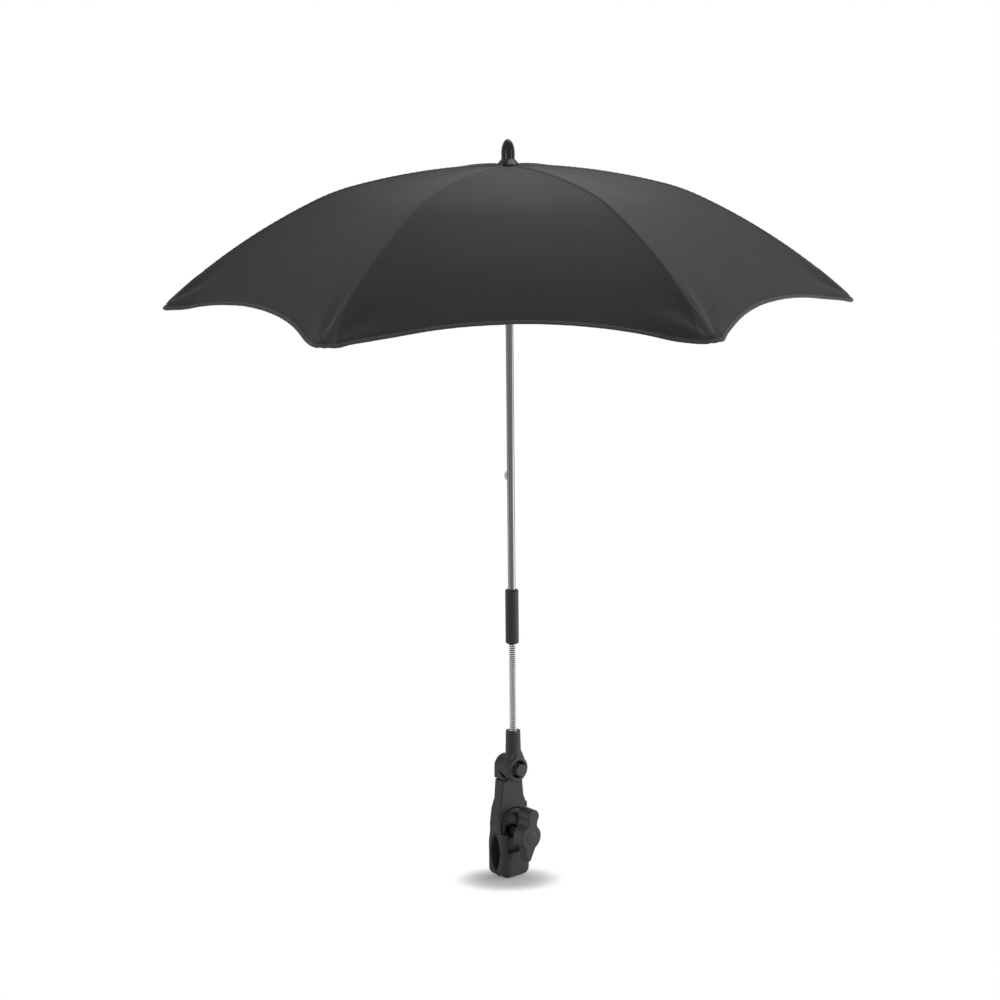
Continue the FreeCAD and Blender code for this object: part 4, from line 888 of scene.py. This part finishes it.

# %% [markdown]

# %% [markdown]
# ## Crown lining
# Under the crown the cover is doubled by a strip of cloth over each rib, which takes the wear of
# the folding ribs. The strips are cut so that they still meet when the frame is folded, so no light
# falls through beside the crown.

# %% Crown lining
LINING_REACH = 0.178
LINING_KEEP = 0.62
LINING_UNDER = 0.0010
LINING_CLOTH = CLOTH * 0.6
LINING_ROWS = 40
LINING_COLUMNS = 24
FOLDED_SLANT = 0.31
FOLDED_MEET = 1.02
FOLDED_WIDEST = 0.047


def lining_half(along):
    """Half of a strip's width: what closes the folded crown, and no more than the gore has."""
    folded = min(FOLDED_WIDEST, PIVOT_RADIUS + FOLDED_SLANT * (along - PIVOT_RADIUS))
    return math.tan(GORE_HALF) * min(along * 0.99, folded * FOLDED_MEET / LINING_KEEP)


def crown_lining(k):
    rows, uvs = [], []
    for i in range(LINING_ROWS + 1):
        along = CROWN_EDGE + (LINING_REACH - CROWN_EDGE) * i / LINING_ROWS
        half = lining_half(along)
        sides = [half * (2 * j / LINING_COLUMNS - 1) for j in range(LINING_COLUMNS + 1)]
        rows.append([cloth_point(*beside_rib(k, along, side), -LINING_UNDER) for side in sides])
        uvs.append([(side, along) for side in sides])
    piece = grid_piece(f"crown_lining_{k}", rows, uvs)
    add_modifier(piece, "SOLIDIFY", thickness=LINING_CLOTH, offset=-1.0)
    smooth(piece, 60)
    settle(piece, f"crown_lining_{k}", CANOPY_CLOTH)
    fold_with_rib(piece, k)
    flat = (2 * lining_half(LINING_REACH), LINING_REACH)
    return piece


LININGS = [crown_lining(k) for k in RIBS]
print("linings", len(LININGS), "reach", LINING_REACH)

# %% [markdown]
# ## Crown patch
# A small round patch of the same cloth is nipped under the finial and covers the gathered ends of
# the gores. It stays with the pole when the ribs fold. A flat disc would cut into the bowed crown,
# so it is a ring of points on the cloth's surface, lifted a little.

# %% Crown patch
CAP_RADIUS = 0.0122
CAP_HOLE = 0.0030
CAP_LIFT = 0.00030
CAP_EDGE_LIFT = 0.00018
CAP_CLOTH = 0.0003
CAP_RINGS = 8
CAP_SIDES = 72
angles = [2 * math.pi * j / CAP_SIDES for j in range(CAP_SIDES)]
cap_rows, cap_uvs = [], []
for i in range(CAP_RINGS + 1):
    radius = CAP_HOLE + (CAP_RADIUS - CAP_HOLE) * i / CAP_RINGS
    lift = CAP_LIFT if i < CAP_RINGS else CAP_EDGE_LIFT
    cap_rows.append([cloth_point(radius, angle, lift) for angle in angles])
    cap_uvs.append([(radius * math.cos(angle), radius * math.sin(angle)) for angle in angles])
patch = grid_piece("crown_patch", cap_rows, cap_uvs, closed=True)
add_modifier(patch, "SOLIDIFY", thickness=CAP_CLOTH, offset=-1.0)
smooth(patch, 60)
settle(patch, "crown_patch", CANOPY_CLOTH)
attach(patch, "mast")
print("crown patch", CAP_RADIUS)

# %% [markdown]
# ## The wound gooseneck
# The neck is one steel wire wound round a bendable core. A circle driven by the Screw modifier
# gives the winding. It is made in two lengths that meet at the middle of the neck.

# %% Wound wire
COIL_LOW, COIL_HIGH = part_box("neck_coil")
COIL_OUT = (COIL_HIGH.x - COIL_LOW.x) / 2
WIRE = 0.00068
WIRE_SIDES = 10
TURN_STEPS = 24
COIL_MEAN = COIL_OUT - WIRE
COIL_PITCH = 0.0022
NECK_LOW = JOINTS["neck_bend_lower"]["pos_m"][2]
NECK_HIGH = JOINTS["neck_bend_upper"]["pos_m"][2]
NECK_MIDDLE = (NECK_LOW + NECK_HIGH) / 2


def winding(name, low, turns):
    clear_selection()
    bpy.ops.mesh.primitive_circle_add(vertices=WIRE_SIDES, radius=WIRE, fill_type="NGON")
    wire = bpy.context.object
    bpy.ops.object.mode_set(mode="EDIT")
    bpy.ops.mesh.select_all(action="SELECT")
    bpy.ops.transform.rotate(value=math.pi / 2, orient_axis="X", center_override=(0.0, 0.0, 0.0))
    bpy.ops.transform.translate(value=(COIL_MEAN, 0.0, 0.0))
    bpy.ops.mesh.delete(type="ONLY_FACE")
    bpy.ops.object.mode_set(mode="OBJECT")
    add_modifier(
        wire,
        "SCREW",
        angle=2 * math.pi * turns,
        screw_offset=COIL_PITCH * turns,
        axis="Z",
        steps=TURN_STEPS * turns,
        render_steps=TURN_STEPS * turns,
        use_smooth_shade=True,
    )
    pick(wire)
    bpy.ops.object.mode_set(mode="EDIT")
    bpy.ops.mesh.select_all(action="SELECT")
    bpy.ops.mesh.fill_holes(sides=WIRE_SIDES)
    bpy.ops.mesh.normals_make_consistent(inside=False)
    bpy.ops.object.mode_set(mode="OBJECT")
    smooth(wire, 50)
    wire.location = (0.0, POLE_Y, low)
    return settle(wire, name, NECK_WIRE)


LOW_TURNS = round((NECK_MIDDLE - COIL_LOW.z - WIRE) / COIL_PITCH)
HIGH_TURNS = round((COIL_HIGH.z - WIRE - NECK_MIDDLE) / COIL_PITCH)
lower_coil = winding("neck_winding_lower", NECK_MIDDLE - LOW_TURNS * COIL_PITCH, LOW_TURNS)
upper_coil = winding("neck_winding_upper", NECK_MIDDLE, HIGH_TURNS)
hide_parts("neck_coil")
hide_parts("neck_coil")
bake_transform(lower_coil)
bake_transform(upper_coil)
print("turns", LOW_TURNS + HIGH_TURNS, "coil radius", round(COIL_OUT, 5))

# %% [markdown]
# ## Core of the neck
# Inside the winding runs a soft wire core that holds the bend. It is drawn dark and a little thicker
# than the frame's core, so that it fills the gaps between the turns as painted shade. A straight core
# would stick out of a bent winding, so it is made in two lengths.

# %% Core wire
CORE_LOW, CORE_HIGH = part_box("neck_core")
# Painted shade: the core is thickened so that its dark surface fills the gaps between the turns.
CORE_SHADE_FILL = 0.0008
CORE_RADIUS = (CORE_HIGH.x - CORE_LOW.x) / 2 + CORE_SHADE_FILL
CORE_SIDES = 20
CORE_RINGS = 24


def core_length(name, low, high):
    clear_selection()
    bpy.ops.mesh.primitive_cylinder_add(vertices=CORE_SIDES, radius=CORE_RADIUS, depth=high - low)
    core = bpy.context.object
    bpy.ops.object.mode_set(mode="EDIT")
    for level in range(1, CORE_RINGS):
        cut = (level / CORE_RINGS - 0.5) * (high - low)
        bpy.ops.mesh.select_all(action="SELECT")
        bpy.ops.mesh.bisect(plane_co=(0.0, 0.0, cut), plane_no=(0.0, 0.0, 1.0))
    bpy.ops.object.mode_set(mode="OBJECT")
    smooth(core, 50)
    core.location = (0.0, POLE_Y, (low + high) / 2)
    return settle(core, name, CORE_WIRE)


lower_core = core_length("neck_core_lower", CORE_LOW.z, NECK_MIDDLE)
upper_core = core_length("neck_core_upper", NECK_MIDDLE, CORE_HIGH.z)
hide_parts("neck_core")
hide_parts("neck_core")
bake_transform(lower_core)
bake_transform(upper_core)
print("core radius", round(CORE_RADIUS, 5))

# %% [markdown]
# ## Finishes for the frame's own nodes
# Each node of the frame names its material slot in the record, so one table from slot to finish
# dresses them all. Only the small rivets have a finish of their own.

# %% Dress the nodes
FINISHES = {
    "clamp_plastic": CLAMP_PLASTIC,
    "knob_plastic": KNOB_PLASTIC,
    "pad_rubber": PAD_RUBBER,
    "steel": ZINC,
    "chrome": CHROME,
    "core_wire": CORE_WIRE,
    "nylon": FRAME_NYLON,
    "black_plastic": FRAME_NYLON,
    "finial_plastic": GLOSS_BLACK,
    "sleeve_plastic": SLEEVE_PLASTIC,
    "canopy_cloth": CANOPY_CLOTH,
}
for subpart in frame["record"]["subparts"]:
    own = BLACKED if "rivet" in subpart["node"] else FINISHES[subpart["material_slot"]]
    materials = NODES[subpart["node"]].data.materials
    materials.clear()
    materials.append(own)

# %% [markdown]
# ## Studio floor
# The floor is pale. The camera sees it close to white through Light Path, except in an oval round
# the clamp, where it sees the floor's own lit shade with the clamp's real contact shadow; the oval
# itself is a painted shadow. So the light on the object itself stays at a plain level.

# %% Floor
FLOOR = CAD_BOX[0][2]
VIEW = math.radians(-40.0)
RIGHT = Vector((math.cos(VIEW), math.sin(VIEW), 0.0))
AHEAD = Vector((-math.sin(VIEW), math.cos(VIEW), 0.0))
SHADOW_WIDE = 0.062
SHADOW_DEEP = 0.042
SHADOW_NEARER = 0.018
SHADOW_LEAST = 0.16


def seen_directly(tree):
    """1 on rays from the camera and from reflections, 0 on rays that carry light to a surface."""
    rays = tree.nodes.new("ShaderNodeLightPath")
    direct = Field(tree, rays.outputs["Is Camera Ray"])
    return direct.reckon("MAXIMUM", direct, Field(tree, rays.outputs["Is Glossy Ray"]))


def mix_surface(share, first, second, output):
    """Shows the first shader where share is 0 and the second where it is 1."""
    mix = share.tree.nodes.new("ShaderNodeMixShader")
    for given, socket in zip((share.socket, first, second), mix.inputs):
        share.tree.links.new(given, socket)
    share.tree.links.new(mix.outputs[0], output.inputs["Surface"])


clear_selection()
bpy.ops.mesh.primitive_plane_add(size=14.0, location=(0.0, 0.0, FLOOR))
floor = bpy.context.object
floor.name = "studio_floor"
floor_paint, shader, place = finish("studio_floor", Base_Color=grey(0.86), Roughness=0.9)
tree = floor_paint.node_tree
glow = tree.nodes.new("ShaderNodeEmission")
glow.inputs["Color"].default_value = grey(1.0)
# Painted shadow: an oval round the clamp where the camera sees the lit floor, with the clamp's real shadow,
# instead of plain white.
across = place.dot(RIGHT / SHADOW_WIDE)
deep = place.dot(AHEAD / SHADOW_DEEP) + SHADOW_NEARER / SHADOW_DEEP
clear = (across * across + deep * deep).between(0.0, 1.0)
seen = seen_directly(tree) * (clear * (1 - SHADOW_LEAST) + SHADOW_LEAST)
mix_surface(seen, shader.outputs[0], glow.outputs[0], tree.nodes["Material Output"])
floor.data.materials.append(floor_paint)
print("floor at", round(FLOOR, 4))

# %% [markdown]
# ## Surroundings
# The surroundings light the object weakly and evenly from all sides. The camera and the reflections
# see them white. Even light alone would leave the cloth without form, so most of the work is left
# to lamps.

# %% Surroundings
AMBIENT = 0.22
world = bpy.data.worlds.new("studio")
bpy.context.scene.world = world
world.use_nodes = True
sky = world.node_tree
ambient = sky.nodes["Background"]
white = sky.nodes.new("ShaderNodeBackground")
for background, strength in ((ambient, AMBIENT), (white, 1.0)):
    background.inputs["Color"].default_value = grey(1.0)
    background.inputs["Strength"].default_value = strength
mix_surface(seen_directly(sky), ambient.outputs[0], white.outputs[0], sky.nodes["World Output"])
print("ambient light", AMBIENT)

# %% [markdown]
# ## Lamps
# Soft panels stand on both sides, stronger on the right, so that each gore has a grey of its own.
# Low panels light the clamp and the lower cloth, two narrow strips draw light lines on gloss and
# chrome, and a box overhead lifts the crown. Places are given to the right, back and up from the
# middle of the parasol.

# %% Lamps
CENTRE = Vector((0.0, POLE_Y, 0.45))
LAMPS = [
    ("right_panel", (0.92, 0.05, -0.22), (0.48, 0.5), 3.7),
    ("left_panel", (-0.92, 0.05, -0.22), (0.2, 0.5), 0.8),
    ("low_right", (1.0, -0.25, -0.40), (0.8, 0.4), 3.2),
    ("low_left", (-0.9, -0.1, -0.40), (0.3, 0.3), 0.7),
    ("strip_left", (-0.62, -0.91, 0.28), (0.06, 0.35), 1.3),
    ("strip_right", (0.95, -0.55, 0.28), (0.06, 0.35), 1.0),
    ("top_box", (0.12, 0.07, 0.62), (0.36, 0.36), 1.55),
]
for name, (right, back, up), (wide, tall), watts in LAMPS:
    spot = CENTRE + RIGHT * right + AHEAD * back + Vector((0.0, 0.0, up))
    lamp = bpy.data.lights.new(name, "AREA")
    lamp.shape = "RECTANGLE"
    lamp.size = wide
    lamp.size_y = tall
    lamp.energy = watts
    box = bpy.data.objects.new(name, lamp)
    box.location = spot
    box.rotation_euler = (CENTRE - spot).to_track_quat("-Z", "Y").to_euler()
    bpy.context.scene.collection.objects.link(box)
print("lamps", len(LAMPS))

# %% [markdown]
# ## Camera
# The camera stands where the picture was taken: a little above the cover and far enough for its
# perspective, turned so that the pole is just right of the middle. Its focal length is written in
# pixels of the picture.

# %% Camera
EYE_DISTANCE = 2.45
EYE_HEIGHT = 0.885
PITCH_DOWN = math.radians(11.6)
ROLL = math.radians(0.5)
FOCAL_PIXELS = 2418.0
PICTURE_PIXELS = 1000.0
POLE_SHIFT = 11.0

eye = Vector((0.0, POLE_Y, EYE_HEIGHT)) - AHEAD * EYE_DISTANCE
look = AHEAD * math.cos(PITCH_DOWN) - Vector((0.0, 0.0, math.sin(PITCH_DOWN)))
lens = bpy.data.cameras.new("camera")
lens.sensor_width = 36.0
lens.lens = FOCAL_PIXELS / PICTURE_PIXELS * lens.sensor_width
lens.shift_x = -POLE_SHIFT / PICTURE_PIXELS
camera = bpy.data.objects.new("camera", lens)
camera.location = eye
turned = look.to_track_quat("-Z", "Y").to_matrix().to_4x4()
camera.rotation_euler = (turned @ Matrix.Rotation(-ROLL, 4, "Z")).to_euler()
bpy.context.scene.collection.objects.link(camera)
bpy.context.scene.camera = camera
bpy.context.scene.view_settings.view_transform = "Standard"
print("camera at", [round(value, 3) for value in eye])
